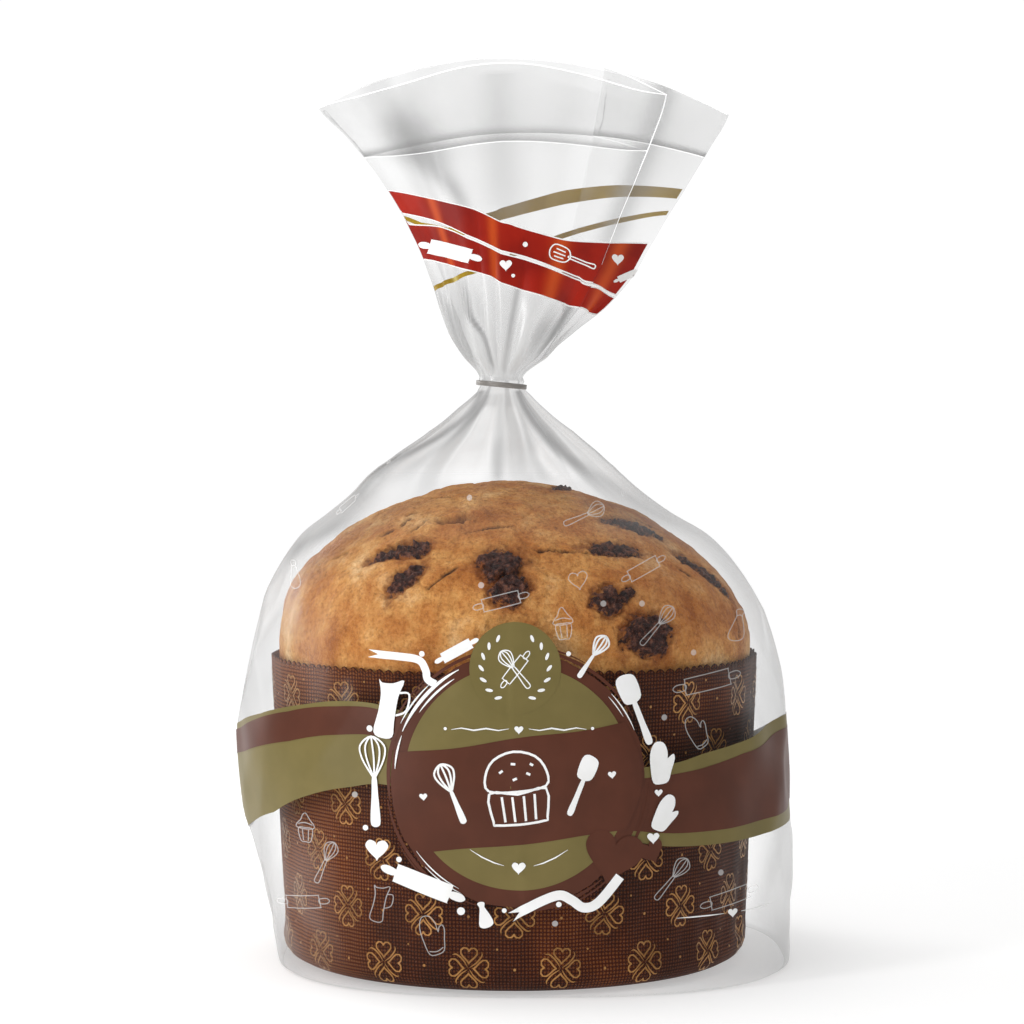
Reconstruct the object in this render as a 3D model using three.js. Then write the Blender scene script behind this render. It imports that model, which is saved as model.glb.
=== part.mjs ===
// A panettone in its paper baking mould, in a clear film bag that is gathered and tied above it.
// Millimetres, +Z up. The origin is on the floor under the middle of the object, and the printed
// front of the bag faces -Y.
import * as THREE from 'three';

// ---- driving dimensions ----
const GAP = 0.3; // left between pieces that touch
const ROUND_SEGMENTS = 64;

const FILM_WALL = 0.5;

const MOULD_PAPER = 0.6;
const MOULD_TOP_RADIUS = 65;
const MOULD_FOOT_RADIUS = 62;
const MOULD_HEIGHT = 80;
const MOULD_CORNER = 5; // round where the wall turns under
const MOULD_LIP_RADIUS = 48; // inner edge of the turned-under lip

const LOAF_TOP = 126.3;
const LOAF_LEAN = -3.5; // the dome's top sits this far to the left
const LOAF_CORNER = 5;

const NECK_X = -3.5;
const NECK_Z = 153.3;
const NECK_RADIUS = 5.9;
const NECK_BORE_RADIUS = 2.4; // the gathered film leaves a channel up its middle
const NECK_GATHER_HEIGHT = 5; // how fast the gathered film thins out above and below the tie

const TIE_THICKNESS = 0.6;
const TIE_HEIGHT = 1.3;
const TIE_TILT_DEGREES = 5.5;

const FILM_SEGMENTS = 48;
const MOUTH_Z = 240.5; // top of the flared mouth at its middle
const MOUTH_DROOP_LEFT = 0.006; // the rim falls away from its middle as a parabola, in 1/mm
const MOUTH_DROOP_RIGHT = 0.0042;

// ---- heights that follow from them ----
const LIP_BOTTOM = FILM_WALL + GAP;
const LIP_TOP = LIP_BOTTOM + MOULD_PAPER;
const BASE_BOTTOM = LIP_TOP + GAP;
const BASE_TOP = BASE_BOTTOM + MOULD_PAPER;
const LOAF_BOTTOM = BASE_TOP + GAP;
const MOULD_RIM_Z = LIP_BOTTOM + MOULD_HEIGHT;

/** Outer radius of the mould's wall at a height. */
function mouldRadius(z) {
  const share = (z - LIP_BOTTOM) / MOULD_HEIGHT;
  return THREE.MathUtils.lerp(MOULD_FOOT_RADIUS, MOULD_TOP_RADIUS, share);
}

/** Points of a quarter round from the floor side of a corner up to its wall side. */
function cornerArc(wallRadius, floorZ, radius, steps) {
  const arc = new THREE.EllipseCurve(wallRadius - radius, floorZ + radius, radius, radius, -Math.PI / 2, 0);
  return arc.getPoints(steps);
}

/** Turns a profile of (radius, height) points about the Z axis. */
function turned(profile, segments) {
  return new THREE.LatheGeometry(profile, segments).rotateX(Math.PI / 2);
}

function mesh(name, geometry, color, roughness, extra = {}) {
  const material = new THREE.MeshStandardMaterial({ color, roughness, metalness: 0, ...extra });
  const piece = new THREE.Mesh(geometry, material);
  piece.name = name;
  return piece;
}

// ---- loaf ----

/** The loaf: a straight-sided foot that fills the mould, and a dome that leans a little to the left. */
function loaf() {
  const inset = MOULD_PAPER + GAP;
  const footRadius = MOULD_FOOT_RADIUS - inset;
  const rimRadius = mouldRadius(MOULD_RIM_Z) - inset;
  const foot = cornerArc(footRadius, LOAF_BOTTOM, LOAF_CORNER, 3);
  const dome = new THREE.SplineCurve([
    new THREE.Vector2(rimRadius, MOULD_RIM_Z - 2),
    new THREE.Vector2(62.3, 91),
    new THREE.Vector2(56.3, 102),
    new THREE.Vector2(43.5, 113),
    new THREE.Vector2(24, 122.5),
    new THREE.Vector2(0, LOAF_TOP),
  ]).getPoints(12);
  const profile = [new THREE.Vector2(0, LOAF_BOTTOM), ...foot, ...dome];
  const geometry = turned(profile, ROUND_SEGMENTS);
  const position = geometry.attributes.position;
  for (let i = 0; i < position.count; i += 1) {
    const lean = THREE.MathUtils.smoothstep(position.getZ(i), MOULD_RIM_Z, LOAF_TOP);
    position.setX(i, position.getX(i) + LOAF_LEAN * lean);
  }
  return mesh('loaf', geometry, 0xbe8749, 0.8);
}

// ---- baking mould ----

/** The paper wall: a slightly flared band whose foot turns under in a round corner and a flat lip. */
function mouldWall() {
  const outer = [
    new THREE.Vector2(MOULD_LIP_RADIUS, LIP_BOTTOM),
    ...cornerArc(MOULD_FOOT_RADIUS, LIP_BOTTOM, MOULD_CORNER, 4),
    new THREE.Vector2(MOULD_TOP_RADIUS, MOULD_RIM_Z),
  ];
  const innerCorner = MOULD_CORNER - MOULD_PAPER;
  const inner = [
    new THREE.Vector2(MOULD_TOP_RADIUS - MOULD_PAPER, MOULD_RIM_Z),
    ...cornerArc(MOULD_FOOT_RADIUS - MOULD_PAPER, LIP_TOP, innerCorner, 4).reverse(),
    new THREE.Vector2(MOULD_LIP_RADIUS, LIP_TOP),
  ];
  const profile = [...outer, ...inner, outer[0].clone()];
  return mesh('mould_wall', turned(profile, ROUND_SEGMENTS), 0x5a3219, 0.75);
}

/** The paper disc that lies on the wall's lip and closes the bottom of the mould. */
function mouldBase() {
  const radius = MOULD_FOOT_RADIUS - MOULD_CORNER;
  const geometry = new THREE.CylinderGeometry(radius, radius, MOULD_PAPER, ROUND_SEGMENTS);
  geometry.rotateX(Math.PI / 2);
  const piece = mesh('mould_base', geometry, 0x5a3219, 0.75);
  piece.position.z = (BASE_BOTTOM + BASE_TOP) / 2;
  return piece;
}

// ---- bag ----

// Level rings of the bag below its neck: height, reach to the left and to the right of the loaf's
// middle, reach to the front and back, and how square the outline is (2 is an ellipse).
const BODY_RINGS = [
  { z: 0, left: 66, right: 72.5, depth: 60, square: 2.8 },
  { z: 2.5, left: 67, right: 73, depth: 62.5, square: 2.7 },
  { z: 8, left: 68, right: 73.3, depth: 65, square: 2.6 },
  { z: 20, left: 70, right: 73.6, depth: 66.5, square: 2.4 },
  { z: 40, left: 72.6, right: 73.7, depth: 67.3, square: 2.25 },
  { z: 61, left: 73.7, right: 73.7, depth: 67.7, square: 2.1 },
  { z: 72, left: 72.3, right: 71.3, depth: 67.4, square: 2 },
  { z: 81, left: 69.7, right: 67.5, depth: 66.8, square: 2 },
  { z: 92, left: 66, right: 64.6, depth: 64.4, square: 2 },
  { z: 103, left: 61.8, right: 57.8, depth: 58.6, square: 2 },
  { z: 113, left: 54.7, right: 48.5, depth: 50, square: 2 },
  { z: 123, left: 43.7, right: 34.5, depth: 37.5, square: 2 },
  { z: 132, left: 33.7, right: 22.5, depth: 27, square: 2 },
  { z: 140, left: 22.7, right: 12.5, depth: 17.5, square: 2 },
  { z: 146.5, left: 15, right: 5.8, depth: 10.5, square: 2 },
  { z: NECK_Z - 1.7, left: -NECK_X + NECK_RADIUS, right: NECK_X + NECK_RADIUS, depth: NECK_RADIUS, square: 2 },
];

// Rings of the flared mouth: share of the way from the neck to the rim, reach to the left and to the
// right of the neck, and reach to the front and back.
const MOUTH_RINGS = [
  { share: 0.02, left: NECK_RADIUS, right: NECK_RADIUS, depth: NECK_RADIUS },
  { share: 0.07, left: 9.3, right: 12, depth: 8 },
  { share: 0.14, left: 13, right: 19, depth: 10 },
  { share: 0.23, left: 16.2, right: 28.5, depth: 11 },
  { share: 0.33, left: 19.4, right: 35.5, depth: 10.5 },
  { share: 0.46, left: 24, right: 41.5, depth: 9.5 },
  { share: 0.63, left: 31.5, right: 49, depth: 8.5 },
  { share: 0.82, left: 41, right: 56, depth: 8 },
  { share: 1, left: 48.8, right: 61, depth: 8 },
];
const FLAT_FROM_SHARE = 0.33; // the round neck has turned into the flat fan by here

/** A superellipse section, counted round from the front. */
function bodySection(ring) {
  const power = 2 / ring.square;
  const middle = (ring.right - ring.left) / 2;
  const reach = (ring.right + ring.left) / 2;
  return Array.from({ length: FILM_SEGMENTS }, (_, i) => {
    const angle = (i / FILM_SEGMENTS) * 2 * Math.PI;
    const across = Math.sin(angle);
    const along = -Math.cos(angle);
    const x = middle + reach * Math.sign(across) * Math.abs(across) ** power;
    const y = ring.depth * Math.sign(along) * Math.abs(along) ** power;
    return new THREE.Vector3(x, y, ring.z);
  });
}

/** Outline of the flat mouth for reaches of 1: a lens whose right end is folded in as a gusset. */
function mouthOutline() {
  const path = new THREE.Path();
  path.moveTo(0, -1);
  path.quadraticCurveTo(0.4, -1, 0.72, -0.55); // front layer, out to the front fold
  path.lineTo(0.45, 0.1); // in to the gusset
  path.lineTo(1, 0.6); // out to the rear fold
  path.quadraticCurveTo(0.5, 1, 0, 1);
  path.quadraticCurveTo(-0.6, 1, -1, 0); // rear layer to the left edge
  path.quadraticCurveTo(-0.6, -1, 0, -1);
  return path.getSpacedPoints(FILM_SEGMENTS).slice(0, FILM_SEGMENTS);
}

/** Sections of the flared mouth, from the round neck to the drooping rim. */
function mouthSection(ring, outline) {
  const flat = THREE.MathUtils.smoothstep(ring.share, 0, FLAT_FROM_SHARE);
  const level = NECK_Z + (MOUTH_Z - NECK_Z) * ring.share;
  return outline.map((point, i) => {
    const angle = (i / FILM_SEGMENTS) * 2 * Math.PI;
    const roundX = Math.sin(angle);
    const x = THREE.MathUtils.lerp(roundX, point.x, flat) * (roundX < 0 ? ring.left : ring.right);
    const y = THREE.MathUtils.lerp(-Math.cos(angle), point.y, flat) * ring.depth;
    const droop = (x < 0 ? MOUTH_DROOP_LEFT : MOUTH_DROOP_RIGHT) * x * x * ring.share ** 2;
    return new THREE.Vector3(NECK_X + x, y, level - droop);
  });
}

/** The film's thickness at a height: thin everywhere but at the gathered neck. */
function wallAt(z) {
  const gathered = NECK_RADIUS - NECK_BORE_RADIUS - FILM_WALL;
  return FILM_WALL + gathered * Math.exp(-(((z - NECK_Z) / NECK_GATHER_HEIGHT) ** 2));
}

/** A section drawn in by the film's thickness, square to its own outline. */
function drawnIn(section) {
  return section.map((point, i) => {
    const before = section.at(i - 1);
    const after = section[(i + 1) % section.length];
    const along = new THREE.Vector2(after.x - before.x, after.y - before.y).normalize();
    const wall = wallAt(point.z);
    const z = Math.max(point.z, FILM_WALL);
    return new THREE.Vector3(point.x - along.y * wall, point.y + along.x * wall, z);
  });
}

/** The bag: a thin open tube from its flat bottom through the neck to the flared mouth. */
function bagFilm() {
  const outline = mouthOutline();
  const outer = [
    ...BODY_RINGS.map(bodySection),
    ...MOUTH_RINGS.map((ring) => mouthSection(ring, outline)),
  ];
  const rings = [...outer, ...outer.map(drawnIn).reverse()];
  const stand = rings.map((_, j) => new THREE.Vector2(1, j));
  const profile = [new THREE.Vector2(0, 0), ...stand, new THREE.Vector2(0, rings.length)];
  const geometry = turned(profile, FILM_SEGMENTS);
  const position = geometry.attributes.position;
  for (let i = 0; i <= FILM_SEGMENTS; i += 1) {
    const start = i * profile.length;
    rings.forEach((ring, j) => {
      const point = ring[i % FILM_SEGMENTS];
      position.setXYZ(start + 1 + j, point.x, point.y, point.z);
    });
    position.setXYZ(start, 0, 0, 0);
    position.setXYZ(start + profile.length - 1, 0, 0, FILM_WALL);
  }
  return mesh('bag_film', geometry, 0xe4e4e2, 0.2, { transparent: true, opacity: 0.25 });
}

/** The band tied round the neck, a little lower on its right. */
function neckTie() {
  const inner = NECK_RADIUS + GAP;
  const outer = inner + TIE_THICKNESS;
  const half = TIE_HEIGHT / 2;
  const profile = [
    new THREE.Vector2(inner, -half),
    new THREE.Vector2(outer, -half),
    new THREE.Vector2(outer, half),
    new THREE.Vector2(inner, half),
    new THREE.Vector2(inner, -half),
  ];
  const piece = mesh('neck_tie', turned(profile, FILM_SEGMENTS), 0xa5a09b, 0.5);
  piece.position.set(NECK_X, 0, NECK_Z);
  piece.rotation.y = THREE.MathUtils.degToRad(TIE_TILT_DEGREES);
  return piece;
}

const panettone = new THREE.Group();
panettone.add(loaf(), mouldWall(), mouldBase(), bagFilm(), neckTie());
export default panettone;
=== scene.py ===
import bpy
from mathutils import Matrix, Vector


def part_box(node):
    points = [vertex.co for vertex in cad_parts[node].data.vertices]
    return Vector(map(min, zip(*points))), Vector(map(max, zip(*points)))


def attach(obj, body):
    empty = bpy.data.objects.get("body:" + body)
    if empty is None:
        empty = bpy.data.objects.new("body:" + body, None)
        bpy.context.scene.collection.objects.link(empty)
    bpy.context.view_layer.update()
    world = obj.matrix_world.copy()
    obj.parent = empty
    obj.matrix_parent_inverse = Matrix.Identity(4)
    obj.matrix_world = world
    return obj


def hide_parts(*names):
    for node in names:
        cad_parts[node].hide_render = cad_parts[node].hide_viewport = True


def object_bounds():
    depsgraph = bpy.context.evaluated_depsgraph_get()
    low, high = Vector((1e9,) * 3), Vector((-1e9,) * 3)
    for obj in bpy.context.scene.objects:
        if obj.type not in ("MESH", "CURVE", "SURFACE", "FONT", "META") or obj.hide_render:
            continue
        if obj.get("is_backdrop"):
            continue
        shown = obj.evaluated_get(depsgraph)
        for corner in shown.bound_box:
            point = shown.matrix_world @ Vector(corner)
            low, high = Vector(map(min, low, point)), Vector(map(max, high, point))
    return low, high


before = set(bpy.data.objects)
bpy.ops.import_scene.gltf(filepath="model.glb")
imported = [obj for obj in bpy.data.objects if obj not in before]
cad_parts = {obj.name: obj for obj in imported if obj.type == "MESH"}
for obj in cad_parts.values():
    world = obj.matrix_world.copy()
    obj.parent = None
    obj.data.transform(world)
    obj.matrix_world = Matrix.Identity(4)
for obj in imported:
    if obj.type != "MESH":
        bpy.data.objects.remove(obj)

"""A panettone with baked-in chocolate, in its paper mould, inside a tied clear film bag."""

import logging
import math
from bisect import bisect_right
from dataclasses import dataclass, field
from enum import Enum
from functools import cache
from typing import Callable, Sequence

import bmesh
import bpy
from mathutils import Vector, noise

MM = 0.001
TURN = 360  # degrees
FULL = 2 * math.pi
BODY = "root"
log = logging.getLogger("panettone")

Pair = tuple[float, float]
Lay = Callable[[float, float], Vector]
Socket = bpy.types.NodeSocket
Tree = bpy.types.NodeTree
Material = bpy.types.Material
Piece = bpy.types.Object
Mesh = bmesh.types.BMesh


# ---- small tools ----


def srgb(code: str) -> tuple[float, float, float, float]:
    """Turns an sRGB hex colour into linear light.

    Args:
        code: six hex digits, such as "63392a".

    Returns:
        Linear red, green, blue and an alpha of 1.
    """
    values = [int(code[i : i + 2], 16) / 255 for i in (0, 2, 4)]
    linear = [v / 12.92 if v <= 0.04045 else ((v + 0.055) / 1.055) ** 2.4 for v in values]
    return (linear[0], linear[1], linear[2], 1.0)


def smoothstep(value: float, low: float, high: float) -> float:
    """Eases from 0 at low to 1 at high."""
    t = min(max((value - low) / (high - low), 0.0), 1.0)
    return t * t * (3 - 2 * t)


def lerp(a: float, b: float, t: float) -> float:
    """Goes from a to b as t goes from 0 to 1."""
    return a + (b - a) * t


def hump(value: float, middle: float, width: float) -> float:
    """A soft bump: 1 at the middle, falling to a third at the width."""
    return math.exp(-(((value - middle) / width) ** 2))


def catmull(before: float, a: float, b: float, after: float, t: float) -> float:
    """A Catmull-Rom step from a to b, with the values on either side of them.

    Args:
        before, a, b, after: four values in a row.
        t: the share of the way from a to b.

    Returns:
        The value there.
    """
    return 0.5 * (
        2 * a
        + (b - before) * t
        + (2 * before - 5 * a + 4 * b - after) * t * t
        + (3 * a - before - 3 * b + after) * t**3
    )


def curve_at(points: Sequence[Pair], key: float) -> float:
    """Reads a smooth curve through (key, value) points, held level past its ends.

    Args:
        points: given points with rising keys.
        key: where to read.

    Returns:
        The value there.
    """
    if key <= points[0][0]:
        return points[0][1]
    if key >= points[-1][0]:
        return points[-1][1]
    i = next(n for n in range(len(points) - 1) if key <= points[n + 1][0])
    t = (key - points[i][0]) / (points[i + 1][0] - points[i][0])
    near = [points[min(max(n, 0), len(points) - 1)][1] for n in (i - 1, i, i + 1, i + 2)]
    return catmull(*near, t)


def smooth_path(points: Sequence[Pair], steps: int, closed: bool = False) -> list[Pair]:
    """Runs a smooth line through a few points.

    Args:
        points: the corner points, in order.
        steps: how many points each stretch between two of them gets.
        closed: whether the line comes back to its start.

    Returns:
        The finer line.
    """
    count = len(points)
    line: list[Pair] = []
    for i in range(count if closed else count - 1):
        if closed:
            near = [points[(i + k) % count] for k in (-1, 0, 1, 2)]
        else:
            near = [points[min(max(i + k, 0), count - 1)] for k in (-1, 0, 1, 2)]
        for step in range(steps):
            line.append(tuple(catmull(*(p[axis] for p in near), step / steps) for axis in (0, 1)))
    line.append(line[0] if closed else points[-1])
    return line


def add_node(tree: Tree, kind: str, settings: dict | None = None,
             inputs: dict | None = None, out: int | str = 0) -> Socket:
    """Adds one shader node.

    Args:
        tree: the material's node tree.
        kind: the node's type, without its "ShaderNode" start.
        settings: the node's own properties. A colour ramp's "stops" are pairs of place and hex colour.
        inputs: values, hex colours or output sockets for its inputs, by name or number.
        out: which of its outputs is wanted.

    Returns:
        That output.
    """
    node = tree.nodes.new("ShaderNode" + kind)
    settings = dict(settings or {})
    stops = settings.pop("stops", ())
    for name, value in settings.items():
        setattr(node, name, value)
    for name, value in (inputs or {}).items():
        if isinstance(value, Socket):
            tree.links.new(value, node.inputs[name])
        else:
            node.inputs[name].default_value = srgb(value) if isinstance(value, str) else value
    for n, (place, code) in enumerate(stops):
        elements = node.color_ramp.elements
        stop = elements[n] if n < len(elements) else elements.new(place)
        stop.position, stop.color = place, srgb(code)
    return node.outputs[out]


def new_material(name: str) -> tuple[Material, Tree, Socket]:
    """Makes an empty node material.

    Args:
        name: the material's name.

    Returns:
        The material, its tree and the input that takes its finished shader.
    """
    material = bpy.data.materials.new(name)
    material.use_nodes = True
    material.node_tree.nodes.clear()
    output = material.node_tree.nodes.new("ShaderNodeOutputMaterial")
    return material, material.node_tree, output.inputs["Surface"]


def piece_from(bm: Mesh, name: str, material: Material,
               merge: float = 1e-7) -> Piece:
    """Turns a mesh under construction into a finished piece that rides with the object.

    Args:
        bm: the mesh, in metres and in its final place.
        name: the piece's name.
        material: its finish.
        merge: corners nearer than this become one.

    Returns:
        The new object.
    """
    bmesh.ops.remove_doubles(bm, verts=bm.verts, dist=merge)
    mesh = bpy.data.meshes.new(name)
    bm.to_mesh(mesh)
    bm.free()
    mesh.polygons.foreach_set("use_smooth", [True] * len(mesh.polygons))
    mesh.materials.append(material)
    piece = bpy.data.objects.new(name, mesh)
    bpy.context.scene.collection.objects.link(piece)
    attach(piece, BODY)
    log.info("%s: %d faces", name, len(mesh.polygons))
    return piece


def bent_grid(bm: Mesh, across: int, up: int,
              place: Callable[[float, float], Vector]) -> list[bmesh.types.BMVert]:
    """Lays a flat grid on a surface.

    Args:
        bm: the mesh to add to.
        across: faces along the first direction.
        up: faces along the second direction.
        place: gives the point for each pair of shares from 0 to 1.

    Returns:
        The grid's corners.
    """
    made = bmesh.ops.create_grid(bm, x_segments=across, y_segments=up, size=1)
    for vert in made["verts"]:
        vert.co = place((vert.co.x + 1) / 2, (vert.co.y + 1) / 2)
    return made["verts"]


def face_outward(bm: Mesh, outward: Callable[[Vector], Vector]) -> None:
    """Turns over every face that looks against the outward direction at its middle."""
    bm.normal_update()
    wrong = [f for f in bm.faces if f.normal.dot(outward(f.calc_center_median())) < 0]
    bmesh.ops.reverse_faces(bm, faces=wrong)


def periodic_noise(turn: float, height: float, around: float, upward: float, seed: float) -> float:
    """Noise from -1 to 1 that closes on itself after a full turn.

    Args:
        turn: place around the object, in turns.
        height: place up the object, in millimetres.
        around: how many patches fit round it, roughly.
        upward: patch height, in millimetres.
        seed: picks another pattern.

    Returns:
        The noise.
    """
    angle, reach = FULL * turn, around / FULL
    return noise.noise(Vector((
        reach * math.cos(angle) + seed, reach * math.sin(angle) - seed, height / upward)))


# ---- finishes ----


@dataclass(frozen=True)
class FilmFinish:
    """Cast polypropylene film: clear and glossy, a little milky, whiter and denser in its gathers.

    The milkiness is the share of light that the film scatters. It comes from the film's own "haze"
    attribute and grows at grazing angles, where the eye looks through more of it. The milky part
    also glows with light of its own, a painted glow that keeps it evenly light. The "crease"
    attribute holds painted shade along the folds: there less light comes through, and the milky part
    is darker and glows less.
    """

    name: str = "cast_polypropylene_film"
    milk: str = "8f8f8e"
    shadow: str = "3c3b3a"
    glow: float = 0.3
    roughness: float = 0.24
    edge: float = 0.5
    edge_shade: float = 0.22
    shine: float = 0.005
    cloud_mm: float = 38.0

    def build(self) -> Material:
        """Builds the material.

        Returns:
            The material.
        """
        material, tree, surface = new_material(self.name)
        place = add_node(tree, "TexCoord", out="Object")
        haze = add_node(tree, "Attribute", {"attribute_name": "haze"}, out="Fac")
        crease = add_node(tree, "Attribute", {"attribute_name": "crease"}, out="Fac")
        cloud = add_node(tree, "TexNoise", inputs={
            "Vector": place, "Scale": 1 / (self.cloud_mm * MM), "Detail": 2.0, "Roughness": 0.4,
        }, out="Fac")
        cloud = add_node(tree, "MapRange", inputs={
            "Value": cloud, "From Min": 0.35, "From Max": 0.65, "To Min": 0.6, "To Max": 1.35,
        })
        haze = add_node(tree, "Math", {"operation": "MULTIPLY"}, {0: haze, 1: cloud})
        facing = add_node(tree, "LayerWeight", inputs={"Blend": 0.5}, out="Facing")
        grazing = add_node(tree, "Math", {"operation": "POWER"}, {0: facing, 1: 3.0})
        rim = add_node(tree, "Math", {"operation": "MULTIPLY_ADD"},
                       {0: grazing, 1: self.edge, 2: self.shine})
        share = add_node(tree, "Math", {"operation": "ADD", "use_clamp": True}, {0: haze, 1: rim})
        # Painted shade: the crease attribute darkens what shows through and, below, the milky colour.
        kept = add_node(tree, "Math", {"operation": "MULTIPLY_ADD", "use_clamp": True},
                        {0: grazing, 1: self.edge_shade, 2: crease})
        passed = add_node(tree, "ValToRGB", {"stops": [(0.0, "ffffff"), (1.0, "000000")]}, {0: kept})
        clear = add_node(tree, "BsdfTransparent", inputs={"Color": passed})
        milk = add_node(tree, "ValToRGB", {"stops": [(0.0, self.milk), (1.0, self.shadow)]}, {0: crease})
        # Painted glow: the milky part emits light of its own; painted shade in the creases dims it.
        glow = add_node(tree, "MapRange", inputs={
            "Value": crease, "To Min": self.glow, "To Max": self.glow * 0.2,
        })
        body = add_node(tree, "BsdfPrincipled", inputs={
            "Base Color": milk, "Roughness": self.roughness, "IOR": 1.5,
            "Specular IOR Level": 0.9, "Emission Color": "ffffff", "Emission Strength": glow,
        })
        tree.links.new(add_node(tree, "MixShader", inputs={0: share, 1: clear, 2: body}), surface)
        return material


@dataclass(frozen=True)
class InkFinish:
    """Gravure ink on film: a flat even colour under the film's gloss, with slight cloudiness.

    Where a glint colour is given, it is a painted highlight: the print's own "glint" attribute says where
    that lighter colour shows.
    """

    name: str
    colour: str
    shade: str
    roughness: float = 0.42
    cover: float = 1.0
    glint: str = ""
    mottle_mm: float = 9.0

    def build(self) -> Material:
        """Builds the material; an ink that doesn't cover lets some of what is behind it through.

        Returns:
            The material.
        """
        material, tree, surface = new_material(self.name)
        place = add_node(tree, "TexCoord", out="Object")
        cloud = add_node(tree, "TexNoise", inputs={
            "Vector": place, "Scale": 1 / (self.mottle_mm * MM), "Detail": 3.0,
        }, out="Fac")
        colour = add_node(tree, "ValToRGB", {"stops": [(0.35, self.shade), (0.65, self.colour)]},
                          {0: cloud})
        # Painted highlight: a lighter colour mixed in where the glint attribute is high.
        if self.glint:
            bright = add_node(tree, "Attribute", {"attribute_name": "glint"}, out="Fac")
            colour = add_node(tree, "Mix", {"data_type": "RGBA"},
                              {0: bright, 6: colour, 7: self.glint}, out=2)
        ink = add_node(tree, "BsdfPrincipled", inputs={
            "Base Color": colour, "Roughness": self.roughness, "IOR": 1.5, "Alpha": self.cover,
            "Specular IOR Level": 0.18,
        })
        tree.links.new(ink, surface)
        return material


@dataclass(frozen=True)
class CrustFinish:
    """Baked sweet-dough crust: golden and matt, with fine pores, darker blushes and chocolate.

    The "chocolate" attribute says where chocolate shows through, and "pit" where the crust is torn
    open; the torn pits are coloured dark as painted shade. The third attribute says how strongly a
    place has browned, with painted shade added that darkens the crust toward the right side.
    """

    name: str = "baked_sweet_dough_crust"
    pore_mm: float = 2.86
    speck_mm: float = 1.21
    grain_mm: float = 0.55
    dimple_mm: float = 3.2
    patch_mm: float = 14.0
    lump_mm: float = 1.6
    ragged_mm: float = 1.3
    golds: tuple[tuple[float, str], ...] = (
        (0.3, "b06c2e"), (0.45, "cc8b48"), (0.57, "e0a863"), (0.7, "f6cf98"))
    specks: tuple[tuple[float, str], ...] = ((0.34, "a87a48"), (0.5, "f0dcc2"), (0.62, "ffffff"))
    cocoa: tuple[tuple[float, str], ...] = ((0.32, "140604"), (0.5, "3a1a12"), (0.68, "7d4f3c"))
    brown_and_shade_tint: str = "b9763c"
    pore: str = "8c5527"
    # Painted shade: the dark colour laid in the torn pits.
    painted_pit_shade: str = "3c2110"
    toasted: str = "6e3c1b"

    def build(self) -> Material:
        """Builds the material.

        Returns:
            The material.
        """
        material, tree, surface = new_material(self.name)
        place = add_node(tree, "TexCoord", out="Object")
        grains = {
            size: add_node(tree, "TexNoise", inputs={
                "Vector": place, "Scale": 1 / (size * MM), "Detail": detail, "Roughness": rough,
            }, out="Fac")
            for size, detail, rough in (
                (self.patch_mm, 5.0, 0.6), (self.speck_mm, 4.0, 0.75), (self.lump_mm, 4.0, 0.65),
                (self.ragged_mm, 3.0, 0.6), (self.dimple_mm, 3.0, 0.55), (self.grain_mm, 4.0, 0.7),
            )
        }
        seen = {name: add_node(tree, "Attribute", {"attribute_name": name}, out="Fac")
                for name in ("chocolate", "pit", "browning_and_shade")}
        golds = add_node(tree, "ValToRGB", {"stops": self.golds}, {0: grains[self.patch_mm]})
        specks = add_node(tree, "ValToRGB", {"stops": self.specks}, {0: grains[self.speck_mm]})
        cocoa = add_node(tree, "ValToRGB", {"stops": self.cocoa}, {0: grains[self.lump_mm]})
        cells = add_node(tree, "TexVoronoi", {"feature": "F1"}, {
            "Vector": place, "Scale": 1 / (self.pore_mm * MM), "Randomness": 1.0,
        }, out="Distance")
        pores = add_node(tree, "MapRange", inputs={
            "Value": cells, "From Min": 0.08, "From Max": 0.2, "To Min": 0.4, "To Max": 0.0,
        })
        ragged = add_node(tree, "Math", {"operation": "MULTIPLY_ADD"},
                          {0: grains[self.ragged_mm], 1: 0.5, 2: seen["chocolate"]})
        shown = add_node(tree, "MapRange", inputs={
            "Value": ragged, "From Min": 0.72, "From Max": 0.82,
        })
        toasted = add_node(tree, "MapRange", inputs={
            "Value": ragged, "From Min": 0.45, "From Max": 0.8, "To Max": 0.55,
        })
        colour = golds
        # The second mix is browning with painted shade toward the right side; the fourth is painted shade
        # in the torn pits.
        for blend, share, over in (
            ("MULTIPLY", 0.55, specks), ("MULTIPLY", seen["browning_and_shade"], self.brown_and_shade_tint),
            ("MIX", pores, self.pore), ("MIX", seen["pit"], self.painted_pit_shade),
            ("MIX", toasted, self.toasted), ("MIX", shown, cocoa),
        ):
            colour = add_node(tree, "Mix", {"data_type": "RGBA", "blend_type": blend},
                              {0: share, 6: colour, 7: over}, out=2)
        relief = add_node(tree, "Bump", inputs={
            "Strength": 0.9, "Distance": 2.0 * MM, "Height": grains[self.dimple_mm],
        })
        relief = add_node(tree, "Bump", inputs={
            "Strength": 0.6, "Distance": 0.5 * MM, "Height": grains[self.grain_mm], "Normal": relief,
        })
        relief = add_node(tree, "Bump", {"invert": True}, {
            "Strength": 0.5, "Distance": 0.6 * MM, "Height": pores, "Normal": relief,
        })
        rough = add_node(tree, "MapRange", inputs={"Value": shown, "To Min": 0.7, "To Max": 0.42})
        baked = add_node(tree, "BsdfPrincipled", inputs={
            "Base Color": colour, "Roughness": rough, "IOR": 1.45, "Normal": relief,
            "Subsurface Weight": 0.06, "Subsurface Radius": (0.004, 0.002, 0.001),
            "Subsurface Scale": 0.3, "Specular IOR Level": 0.3,
        })
        tree.links.new(baked, surface)
        return material


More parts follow.
